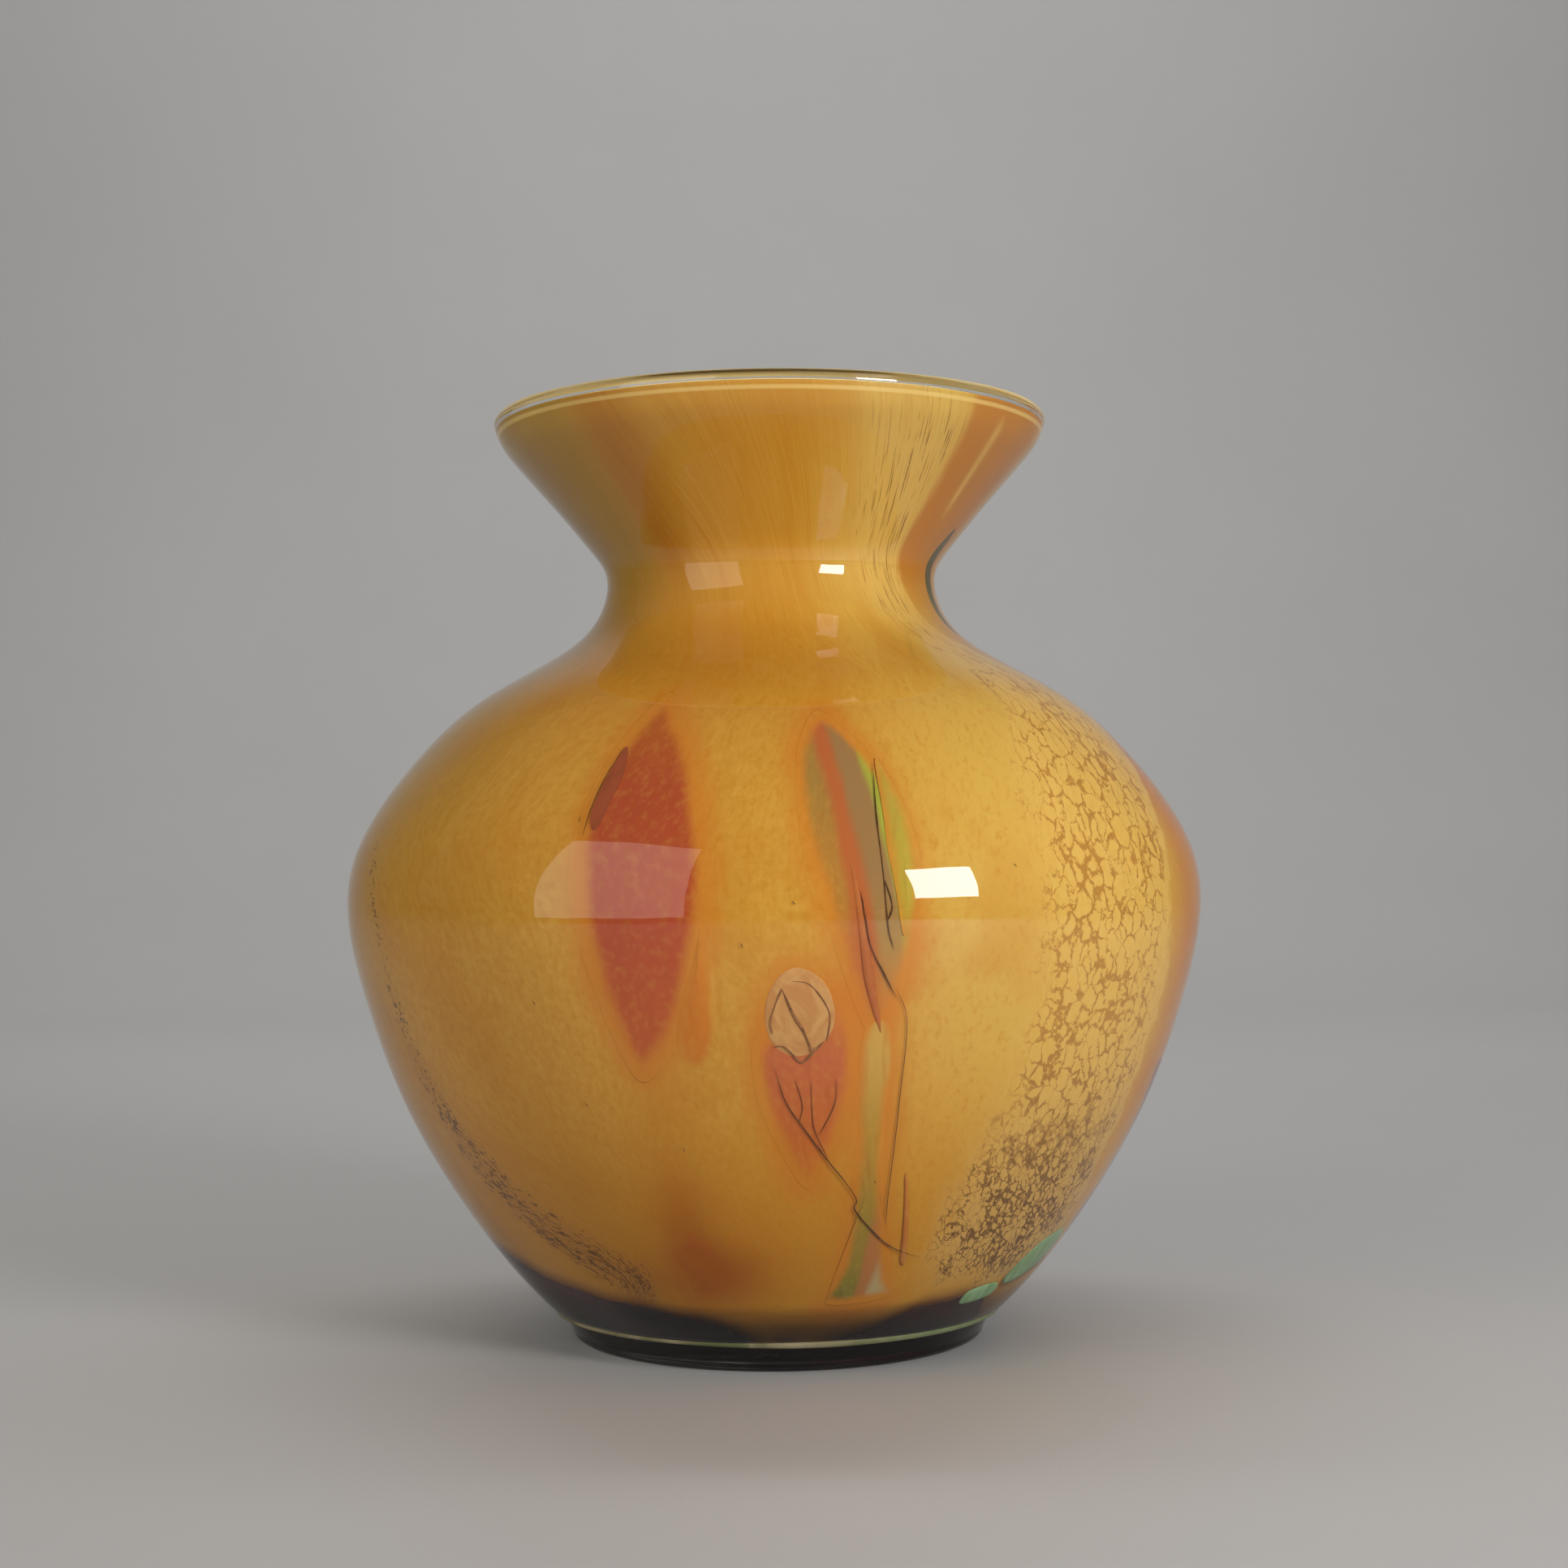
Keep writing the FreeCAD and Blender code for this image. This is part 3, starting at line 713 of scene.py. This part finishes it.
def crackle(m, colour):
    """The straw sheet, crackled into chips by blowing, with brown glass in the gaps."""
    low = m.span(m.attribute("height"), 90, 34)
    neck = m.attribute("neck")
    flow = m.flow(1, 1)
    shift = m.noise(flow, 0.33, 4, 0.62, kind="Color")
    shifted = m.node("VectorMath", {0: shift, 1: (4.2, 4.2, 4.2)}, operation="MULTIPLY").outputs[0]
    warped = m.node("VectorMath", {0: flow, 1: shifted}, operation="ADD").outputs[0]
    edges = []
    for scale in (0.27, 0.44):
        edges.append(m.node("TexVoronoi", {"Vector": warped, "Scale": scale, "Randomness": 1.0},
                            feature="DISTANCE_TO_EDGE").outputs["Distance"])
    swell = m.noise(flow, 0.13, 4, 0.65)
    inside = m.add(m.attribute("straw"), m.wander(1, 1, 0.10, 4, 0.65), 16.0)
    deep_in = m.span(inside, -6, 14)
    width = m.times(m.span(swell, 0.36, 0.66, 0.015, 0.17),
                   m.span(deep_in, 0, 1, 0.25, 1.0))
    width = m.times(width, m.span(low, 0, 1, 1.0, 1.25))
    gaps = []
    for edge, reach in zip(edges, (1.0, 1.25)):
        wide = m.times(width, reach)
        gaps.append(m.math("SUBTRACT", 1.0, m.span(edge, m.times(wide, 0.4), wide)))
    gap = m.between(m.span(low, 0.2, 0.9), *gaps)
    dash = m.noise(m.flow(2.4, 0.55), 0.55, 4, 0.6, 0.5)
    dash = m.times(m.span(m.add(dash, deep_in, 0.05), 0.60, 0.66),
                   m.span(m.attribute("angle"), 16, 40, 0.35, 1.0))
    gap = m.between(m.span(neck, 0.1, 0.7), gap, dash)
    broken = m.span(m.noise(flow, 0.55, 4, 0.7), 0.36, 0.46)
    cracked = m.span(m.math("SUBTRACT", inside, m.times(m.noise(flow, 0.22, 3), 12.0)), -7, 0)
    gap = m.times(m.times(gap, broken), cracked)
    mottle = m.noise(m.flow(1, 0.5), 0.8, 4, 0.6)
    chip = m.mix(m.span(mottle, 0.4, 0.7, 0, 0.5), STRAW, AMBER_LIGHT)
    chip = m.mix(low, chip, STRAW_LOW)
    gap_colour = m.mix(low, GAP, GAP_LOW)
    gap_colour = m.mix(m.span(neck, 0.2, 0.8), gap_colour, NECK_GAP)
    right = m.span(m.attribute("angle"), 42, 56)
    soft = m.span(inside, m.span(right, 0, 1, -8.0, -1.0), m.span(right, 0, 1, 12.0, 1.0))
    colour = m.tint(colour, soft, 0.9, chip)
    colour = m.tint(colour, gap, 0.9, gap_colour)
    return m.tint(colour, m.attribute("sliver"), 0.7, STRAW)


def flecks(m, colour):
    """Small brown specks that follow a band down the left side, denser and wider below."""
    grain = m.noise(m.flow(1.3, 1.7), 0.50, 4, 0.62, 0.5)
    low = m.span(m.attribute("height"), 105, 28)
    reach = m.span(low, 0, 1, 3.5, 11.0)
    near = m.span(m.attribute("fleck_band"), reach, 0.0)
    patchy = m.span(m.noise(m.flow(1, 0.6), 0.12, 3), 0.40, 0.60, 0.0, 1.0)
    lift = m.times(m.times(near, m.math("ADD", patchy, low)), 0.075)
    speck = m.span(m.math("ADD", grain, lift), 0.600, 0.640)
    speck = m.times(speck, m.span(near, 0.05, 0.35))
    colour = m.tint(colour, m.times(near, low), 0.35, FLECK_GROUND)
    return m.tint(colour, speck, 0.85, FLECK)


def ground(m):
    """All that the colour layer shows round the bits laid on it."""
    colour, fine = amber_base(m)
    colour = crackle(m, colour)
    colour = flecks(m, colour)
    for name in HALOED:
        colour = halo(m, colour, name)
    return m.tint(colour, m.span(m.attribute("pool_near"), 5.0, -0.5), 0.8, POOL_SHADE), fine


def surface_bump(m, relief):
    return m.node("Bump", {"Height": relief, "Strength": 0.25, "Distance": 0.06 * MM}).outputs[0]


def coloured(m, colour, roughness, normal=None):
    """Coloured glass under clear glass: with no air between them it has no shine of its own."""
    shader = m.node("BsdfPrincipled", {
        "Base Color": colour, "Roughness": roughness, "IOR": 1.45, "Normal": normal,
        "Specular IOR Level": 0.03})
    return m.finish(shader.outputs[0])


def amber_material():
    m = Nodes("amber_powder_glass")
    colour, fine = ground(m)
    height = m.attribute("height")
    line = m.times(m.span(height, *(TOTAL - under for under in LIP_LINE_FADE_IN)),
                   m.span(height, *(TOTAL - under for under in LIP_LINE_FULL[::-1])))
    colour = m.tint(colour, line, 0.6, LIP_LINE)
    return coloured(m, colour, m.span(fine, 0.3, 0.7, 0.32, 0.5), surface_bump(m, fine))


def bit_material(mask, shades, edge_width, extra=None):
    """One hot bit, soft at its edge: shades are (height, colour) from the bottom up."""
    m = Nodes(mask + "_glass")
    colour, fine = ground(m)
    distance = m.add(m.attribute(mask), m.wander(1, 0.5, 0.16), 3.0)
    height = m.attribute("height")
    body = shades[0][1]
    for (low, _), (high, shade) in zip(shades, shades[1:]):
        body = m.mix(m.span(height, low, high), body, shade)
    streak = m.noise(m.flow(1.6, 0.20), 0.36, 5, 0.6)
    body = m.mix(m.span(fine, 0.46, 0.68, 0, 0.20), body, AMBER_LIGHT)
    body = m.mix(m.span(streak, 0.50, 0.30, 0, 0.30), body, BLUSH)
    if extra:
        body = extra(m, body)
    colour = m.mix(m.span(distance, -0.8, edge_width), colour, body)
    return coloured(m, colour, m.span(fine, 0.3, 0.7, 0.25, 0.42), surface_bump(m, fine))


def plain_bit(name, colour, other, scale=0.35, roughness=0.3, along=0.4):
    """A small opaque bit: two colours swirled together."""
    m = Nodes(name)
    swirl = m.noise(m.flow(1, along), scale, 5, 0.6, 1.2)
    tone = m.mix(m.span(swirl, 0.36, 0.64), colour, other)
    return coloured(m, tone, m.span(swirl, 0.3, 0.7, roughness * 0.8, roughness * 1.3))


def glass_material(name, tint=None):
    """Clear glass, a little wavy, that lets lamps light what it covers."""
    m = Nodes(name)
    place = m.place()
    ripple = m.noise(place, 60, 2, 0.4)
    normal = m.node("Bump", {"Height": ripple, "Strength": 0.12, "Distance": 0.6 * MM}).outputs[0]
    colour = tint(m) if tint else (0.985, 0.99, 0.98, 1.0)
    glass = m.node("BsdfPrincipled", {
        "Base Color": colour, "Roughness": 0.0, "IOR": 1.5, "Transmission Weight": 1.0,
        "Specular IOR Level": 0.28, "Normal": normal})
    clear = m.node("BsdfTransparent", {"Color": (0.95, 0.96, 0.94, 1.0)})
    shadow = m.node("LightPath").outputs["Is Shadow Ray"]
    both = m.node("MixShader", {0: shadow, 1: glass.outputs[0], 2: clear.outputs[0]})
    return m.finish(both.outputs[0])


def foot_wisps_and_painted_shade(m):
    """Clear glass greyed, with wisps: green on the left, near-black plum in the middle and
    burgundy on the right; the grey and the near black are painted shade for dark surroundings seen
    through the foot.
    """
    place = m.place()
    across = m.node("SeparateXYZ", {0: place}).outputs[0]
    wisp = m.noise(m.scaled(place, (1, 1, 5)), 30, 4, 0.6, 0.5)
    left = m.times(m.span(across, -0.030, -0.042), m.span(wisp, 0.34, 0.50))
    right = m.times(m.span(across, 0.000, 0.014), m.span(wisp, 0.28, 0.46, 0.5, 1.0))
    # painted shade: the grey base and these near-black wisps darken the clear foot, as if dark
    # surroundings showed through it
    dark = m.times(m.span(across, -0.040, -0.026), m.span(wisp, 0.34, 0.50, 0.45, 1.0))
    colour = m.mix(m.times(dark, 0.96), (0.62, 0.62, 0.56), (0.006, 0.003, 0.003))
    colour = m.tint(colour, left, 0.9, (0.045, 0.075, 0.022))
    return m.tint(colour, right, 0.94, (0.040, 0.002, 0.006))


def pool_material():
    m = Nodes("amethyst_glass")
    cloud = m.noise(m.place(), 30, 4, 0.6, 0.5)
    colour = m.mix(m.span(cloud, 0.35, 0.7), (0.010, 0.002, 0.003), (0.050, 0.008, 0.010))
    return coloured(m, colour, m.span(cloud, 0.3, 0.7, 0.3, 0.5))


def lining_material():
    m = Nodes("opal_lining_glass")
    place = m.place()
    cloud = m.noise(place, 22, 4, 0.55)
    streak = m.noise(m.scaled(place, (1, 1, 0.12)), 130, 4, 0.6)
    colour = m.mix(m.span(cloud, 0.35, 0.7), (0.80, 0.55, 0.17), (0.86, 0.66, 0.27))
    colour = m.mix(m.span(streak, 0.45, 0.68, 0, 0.35), colour, (0.72, 0.42, 0.10))
    shader = m.node("BsdfPrincipled", {
        "Base Color": colour, "Roughness": m.span(cloud, 0.3, 0.7, 0.06, 0.12), "IOR": 1.5,
        "Coat Weight": 0.6, "Coat Roughness": 0.03})
    return m.finish(shader.outputs[0])


def floor_material():
    m = Nodes("pale_floor")
    place = m.place()
    cloud = m.noise(place, 3, 5, 0.6)
    colour = m.mix(cloud, (0.60, 0.59, 0.575), (0.66, 0.65, 0.635))
    shader = m.node("BsdfPrincipled", {
        "Base Color": colour, "Roughness": m.span(cloud, 0.3, 0.7, 0.5, 0.6)})
    return m.finish(shader.outputs[0])


# ---------------------------------------------------------------- pieces
def stand_for(piece, slot_name, *nodes):
    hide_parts(*nodes)
    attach(piece, "root")
    return piece


def arc_points(centre, radius, start, end, count):
    turn = np.radians(np.linspace(start, end, count))
    return np.column_stack([centre[0] + radius * np.cos(turn), centre[1] + radius * np.sin(turn)])


def casing_profile():
    """Outside from the joint with the foot to the rim, over the lip, and back down unseen.

    The way back runs inside the overlay, so that no face of it lies in another layer's face.
    """
    levels = np.linspace(0, 3, 260)
    outer = np.column_stack(wall(levels, 0))
    heel = np.array([[FOOT_TOP_RADIUS + 0.05, FOOT_HEIGHT], [RADII[0] - 0.7, FOOT_HEIGHT],
                     [RADII[0] - 0.15, FOOT_HEIGHT + 0.02]])
    rim_outer, rim_inner = np.array(wall(3.0, 0)), np.array(wall(3.0, WALL))
    centre = (rim_outer + rim_inner) / 2
    start = math.degrees(math.atan2(*(rim_outer - centre)[::-1]))
    lip = arc_points(centre, WALL / 2, start, start + 180, 18)[1:]
    cover_levels = np.linspace(3.0, LAYERS_END, 8)[1:]
    cover = np.column_stack(wall(cover_levels, casing_depth(cover_levels) + OVERLAY + LINING))
    buried_levels = np.linspace(LAYERS_END - 0.03, JOIN, 90)
    buried = np.column_stack(wall(buried_levels, casing_depth(buried_levels) + OVERLAY * 0.5))
    last = np.array([[0.0, (OVERLAY_BOTTOM + LINING_BOTTOM) / 2]])
    steps = np.array([[0.75, 0.3], [0.4, 0.05]])
    inner = [[buried[-1, 0] * a, OVERLAY_BOTTOM + 0.5 + (buried[-1, 1] - OVERLAY_BOTTOM - 0.5) * b]
             for a, b in steps]
    return np.concatenate([heel, outer[1:], lip, cover, buried, inner, last])


def foot_profile():
    """From the axis out over the polished dish and the ground ring, and up the side."""
    rim = np.array([FOOT_RADIUS - FOOT_ROUND, FOOT_ROUND])
    corner = arc_points(rim, FOOT_ROUND, 0, -90, 10)
    dish = [[PONTIL_RADIUS * math.cos(a), PONTIL_DEPTH * math.sin(a)]
            for a in np.linspace(0, math.pi / 2, 12)]
    dish[-1][0] = 0.0
    side = np.column_stack([np.linspace(FOOT_TOP_RADIUS, FOOT_RADIUS, 8),
                            np.linspace(FOOT_HEIGHT, FOOT_ROUND, 8)])
    rest = np.column_stack([np.linspace(FOOT_RADIUS - FOOT_ROUND, PONTIL_RADIUS, 8), np.zeros(8)])
    return np.concatenate([side[:-1], corner, rest[1:-1], dish])[::-1]


def ribbon_piece():
    """The thread of pale glass round the joint, with small swellings along it."""
    m = Nodes("pale_ribbon_glass")
    place = m.place()
    swirl = m.noise(place, 40, 4, 0.6, 0.8)
    colour = m.mix(m.span(swirl, 0.38, 0.62), (0.14, 0.15, 0.07), (0.36, 0.31, 0.19))
    across = m.node("SeparateXYZ", {0: place}).outputs[0]
    colour = m.mix(m.span(across, 0.010, 0.040, 0, 0.7), colour, (0.14, 0.20, 0.09))
    material = coloured(m, colour, m.span(swirl, 0.3, 0.7, 0.12, 0.25))
    turns, sides = 256, 14
    points, faces = [], []
    for k in range(turns):
        angle = 360 * k / turns
        turn = math.radians(angle)
        fat = RIBBON_RADIUS * (0.86 + 0.10 * math.sin(3 * turn) + 0.04 * math.sin(7 * turn + 1))
        for j in range(sides):
            around = 2 * math.pi * j / sides
            radius = RADII[0] - RIBBON_SETBACK + fat * math.cos(around)
            points.append((radius * math.sin(turn), -radius * math.cos(turn),
                           FOOT_HEIGHT + fat * math.sin(around)))
            a, b = k * sides, (k + 1) % turns * sides
            after = (j + 1) % sides
            faces.append((a + j, b + j, b + after, a + after))
    return make_object("foot_ribbon_thread", points, faces, material, closed=True)


def pool_piece():
    """The dark bowl of glass under the colour, its edge higher on the left."""
    outer = bowl_profile(-POOL_WALL, POOL_BOTTOM, 60, 30, 0.42)
    inner = bowl_profile(0.3, OVERLAY_BOTTOM + 0.2, 60, 30, 0.42)
    segments = 360
    points, faces = [], []
    count = len(outer)
    for k in range(segments):
        angle = -180 + 360 * k / segments
        for profile in (outer, inner):
            edge = float(pool_edge(angle))
            keep = profile[:, 1] <= edge
            last = np.nonzero(keep)[0][-1] if keep.any() else 0
            rows = profile.copy()
            rows[last + 1:] = profile[last]
            points.append(on_wall(np.full(count, angle), rows[:, 0], rows[:, 1]))
    total = 2 * count
    for k in range(segments):
        a, b = k * total, (k + 1) % segments * total
        for j in range(total - 1):
            if j < count - 1:
                faces.append((a + j, b + j, b + j + 1, a + j + 1))
            elif j >= count:
                faces.append((a + j + 1, b + j + 1, b + j, a + j))
        faces.append((a + count - 1, b + count - 1, b + total - 1, a + total - 1))
    return make_object("amethyst_pool_bowl", np.concatenate(points), faces, pool_material())


def casing_pieces():
    clear = glass_material("clear_casing_glass")
    stand_for(lathe("clear_casing_glass", casing_profile(), 320, clear),
              "clear_glass", "clear_casing")
    tinted = glass_material("clear_foot_glass", foot_wisps_and_painted_shade)
    stand_for(lathe("clear_foot_glass", foot_profile(), 256, tinted), "clear_glass", "clear_foot")
    stand_for(ribbon_piece(), "pale_green_glass", "foot_ribbon")


def layer_pieces():
    """The amber skin, which shows the crackle sheet and the flecks too, and what lies under it."""
    outer = bowl_profile(0, OVERLAY_BOTTOM, 430, 40)
    inner = bowl_profile(OVERLAY, LINING_BOTTOM, 120, 20)[::-1]
    skin = lathe("amber_overlay_glass", np.concatenate([outer, inner]), 640, amber_material(),
                 with_layer=True)
    stand_for(skin, "amber_glass", "amber_overlay", "straw_crackle", "brown_flecks")
    lining_outer = bowl_profile(OVERLAY, LINING_BOTTOM, 100, 20)
    lining_inner = bowl_profile(OVERLAY + LINING, CAVITY_BOTTOM, 200, 40)[::-1]
    lining = lathe("opal_lining_glass", np.concatenate([lining_outer, lining_inner]), 320,
                   lining_material())
    stand_for(lining, "opal_glass", "opal_lining")
    stand_for(pool_piece(), "amethyst_glass", "amethyst_pool")


def green_bands(m, body):
    """Across the green petal: olive, a red band, grey, and lime at its right."""
    across = m.add(m.attribute("angle"), m.math("SUBTRACT", m.attribute("height"), 120.0), 0.075)
    across = m.add(across, m.wander(1, 0.15, 0.2, 3), 2.0)
    higher = m.span(m.attribute("height"), 92, 124)
    reddened = m.mix(m.span(across, 7.4, 9.2), body, (0.45, 0.125, 0.034))
    grey = m.mix(higher, (0.42, 0.250, 0.060), (0.31, 0.175, 0.062))
    banded = m.mix(m.span(across, 9.8, 11.4), reddened, grey)
    banded = m.mix(m.span(across, 13.4, 14.6), banded, (0.36, 0.375, 0.045))
    return m.mix(m.span(m.attribute("height"), 86, 108), body, banded)


def stem_bands(m, body):
    """The stem: bright green down its left edge near the foot, peach and plum to its right."""
    angle, height = m.attribute("angle"), m.attribute("height")
    across = m.add(angle, m.wander(1, 0.15, 0.25, 3), 2.5)
    low = m.span(height, 62, 34)
    peach = m.mix(m.span(across, 14.6, 16.0), body, (0.44, 0.165, 0.050))
    body = m.tint(body, low, 0.9, peach)
    edge = m.times(m.span(across, 17.0, 18.4), m.span(height, 34, 22))
    body = m.tint(body, edge, 0.8, (0.46, 0.40, 0.20))
    dark = m.times(m.span(height, 23, 17), m.span(across, 13.6, 12.4))
    return m.tint(body, dark, 0.8, (0.035, 0.065, 0.012))


def lay_bit(node, thickness, material, slot_name, grow=0.0, above=0.0, crisp=False):
    """One bit of glass with the outline of its own name."""
    bit = pad(node + "_bit", OUTLINES[node], thickness, material, grow, above=above, crisp=crisp)
    stand_for(bit, slot_name, node)


def soft_bits():
    """The bits whose edges melt into the amber."""
    red = bit_material("red_petal", (
        (60, (0.50, 0.140, 0.024)), (84, (0.47, 0.100, 0.024)), (112, (0.42, 0.072, 0.026)),
        (140, (0.40, 0.074, 0.024)), (160, (0.42, 0.110, 0.018))), 3.6)
    lay_bit("red_petal", 0.4, red, "red_glass", 4.0)
    green = bit_material("green_petal", (
        (86, (0.56, 0.210, 0.026)), (100, (0.52, 0.160, 0.028)), (120, (0.42, 0.205, 0.036)),
        (150, (0.33, 0.200, 0.042))), 2.2, green_bands)
    lay_bit("green_petal", 0.4, green, "green_glass", 3.0)
    rose = bit_material("rose_drop", (
        (50, (0.56, 0.185, 0.018)), (64, (0.52, 0.135, 0.028)), (80, (0.50, 0.130, 0.044)),
        (92, (0.56, 0.195, 0.030))), 2.4)
    lay_bit("rose_drop", 0.35, rose, "orange_glass", 2.5)
    stem = bit_material("green_stem", (
        (18, (0.20, 0.190, 0.030)), (34, (0.30, 0.210, 0.030)), (60, (0.44, 0.260, 0.036)),
        (84, (0.54, 0.330, 0.070))), 1.8, stem_bands)
    lay_bit("green_stem", 0.35, stem, "green_glass", 2.0)
    lobe = bit_material("orange_lobe", (
        (70, (0.50, 0.150, 0.014)), (84, (0.56, 0.185, 0.016)), (118, (0.57, 0.200, 0.020))), 2.6)
    lay_bit("orange_lobe", 0.5, lobe, "orange_glass", 0.6)
    lime = bit_material("lime_edge", (
        (96, (0.50, 0.310, 0.040)), (116, (0.44, 0.350, 0.040)), (145, (0.42, 0.310, 0.046))), 2.4)
    lay_bit("lime_edge", 0.25, lime, "lime_glass", 0.5, above=0.40)


def crisp_bits():
    """The chips, slips and lenses with edges of their own."""
    seed = plain_bit("honey_seed_glass", (0.58, 0.325, 0.115), (0.50, 0.240, 0.075),
                     0.22, 0.25, 0.8)
    lay_bit("honey_seed", 0.45, seed, "honey_glass", 0.4, crisp=True)
    mint = plain_bit("mint_glass", (0.16, 0.30, 0.12), (0.26, 0.42, 0.22), 0.22)
    for name in ("mint_chip_upper", "mint_chip_lower"):
        stand_for(pad(name, OUTLINES[name], 0.5, mint, 0.0, above=1.6, crisp=True),
                  "mint_glass", "mint_chips")
    wash = plain_bit("burgundy_wash_glass", (0.16, 0.012, 0.030), (0.32, 0.055, 0.030), 0.12)
    lay_bit("burgundy_wash", 0.3, wash, "amethyst_glass")
    olive = plain_bit("olive_slip_glass", (0.060, 0.050, 0.010), (0.16, 0.120, 0.020), 0.3)
    lay_bit("olive_slip", 0.4, olive, "olive_glass", -0.4)
    smoke = plain_bit("smoke_lens_glass", (0.33, 0.080, 0.030), (0.27, 0.068, 0.026), 0.3)
    lay_bit("smoke_lens", 0.2, smoke, "smoke_glass", above=0.35)


def trails():
    """The stems, veins, threads and hairs drawn out long and thin."""
    peach = plain_bit("peach_stem_glass", (0.50, 0.200, 0.045), (0.46, 0.160, 0.026), 0.3)
    stand_for(trail("peach_stem_trail", [(PEACH_STEM, (0.3, 0.7, 0.9))], peach, 0.1),
              "orange_glass", "peach_stem")
    vein = plain_bit("petal_vein_glass", (0.42, 0.125, 0.034), (0.46, 0.150, 0.036), 0.3)
    stand_for(trail("petal_vein_trail", [(PETAL_VEIN, (0.2, 0.4, 0.7, 1.2, 0.5))], vein, 0.1),
              "red_glass", "petal_vein")
    dark = plain_bit("dark_thread_glass", (0.045, 0.022, 0.010), (0.15, 0.065, 0.022), 0.5)
    lines = [(route, (0.07, 0.17, 0.10, 0.20, 0.08)) for route in THREADS]
    lines += [(route, (0.05, 0.11, 0.08)) for route in HAIRS]
    stand_for(trail("dark_thread_trails", lines, dark, 0.5), "brown_glass", "dark_threads")
    crack = plain_bit("seed_vein_glass", (0.17, 0.075, 0.028), (0.32, 0.150, 0.055), 0.5)
    cracks = list(zip(SEED_CRACKS, SEED_CRACK_WIDTHS))
    stand_for(trail("seed_vein_trail", cracks, crack, 0.5), "brown_glass", "seed_vein")


casing_pieces()
layer_pieces()
soft_bits()
crisp_bits()
trails()


# ---------------------------------------------------------------- stage, light and camera
def stage():
    """A floor that bends up behind into a backdrop, just under the foot."""
    size, front, top, sunk = 7.0, -9.0, 3.0, 0.0002
    mesh = bpy.data.meshes.new("floor")
    start, bend = 1.1, 0.9
    rows = [(front, 0.0), (0.0, 0.0)]
    for turn in np.linspace(0, math.pi / 2, 25):
        rows.append((start + bend * math.sin(turn), bend * (1 - math.cos(turn))))
    rows.append((start + bend, top))
    points, faces = [], []
    for j, (y, z) in enumerate(rows):
        points += [(-size, y, z - sunk), (size, y, z - sunk)]
        if j:
            faces.append((2 * j - 2, 2 * j - 1, 2 * j + 1, 2 * j))
    mesh.from_pydata(points, [], faces)
    mesh.materials.append(floor_material())
    mesh.polygons.foreach_set("use_smooth", [True] * len(mesh.polygons))
    floor = bpy.data.objects.new("floor", mesh)
    bpy.context.scene.collection.objects.link(floor)


def area_light(name, place, target, width, height, power, colour=(1, 1, 1)):
    """A rectangular lamp that faces its target and isn't seen itself."""
    data = bpy.data.lights.new(name, "AREA")
    data.shape = "RECTANGLE"
    data.size, data.size_y = width, height
    data.energy = power
    data.color = colour
    lamp = bpy.data.objects.new(name, data)
    lamp.visible_camera = False
    bpy.context.scene.collection.objects.link(lamp)
    way = Vector(target) - Vector(place)
    lamp.location = place
    lamp.rotation_euler = way.to_track_quat("-Z", "Y").to_euler()
    return lamp


def lights():
    """A window to the front right, a tall pale panel to the left, and a wash on the backdrop."""
    middle = (0.0, 0.0, 0.12)
    area_light("window", (0.67, -0.74, 0.36), middle, 0.30, 0.32, 5.6, (0.97, 0.98, 1.0))
    area_light("left_panel", (-0.60, -0.70, 0.46), (0.0, 0.0, 0.40), 0.66, 0.84, 2.9,
               (1.0, 0.95, 0.88))
    wash = area_light("backdrop_wash", (0.0, 0.5, 1.7), (0.0, 1.7, 0.4), 1.6, 0.6, 14.0)
    wash.visible_glossy = False
    world = bpy.data.worlds.new("studio")
    world.use_nodes = True
    world.node_tree.nodes["Background"].inputs[0].default_value = (1.0, 1.0, 1.0, 1.0)
    world.node_tree.nodes["Background"].inputs[1].default_value = 0.13
    bpy.context.scene.world = world


def camera():
    """Level with the middle of the body, a little above it, turned a touch about its own view."""
    data = bpy.data.cameras.new("camera")
    data.lens, data.sensor_width = 55.58, 36.0
    data.shift_x, data.shift_y = 0.0067, 0.0338
    data.clip_start = 0.02
    eye = bpy.data.objects.new("camera", data)
    bpy.context.scene.collection.objects.link(eye)
    eye.location = (0.0, -0.6392, 0.1297)
    eye.rotation_mode = "XYZ"
    eye.rotation_euler = (math.radians(90), math.radians(0.585), 0.0)
    bpy.context.scene.camera = eye


stage()
lights()
camera()
bpy.context.scene.view_settings.view_transform = "Standard"
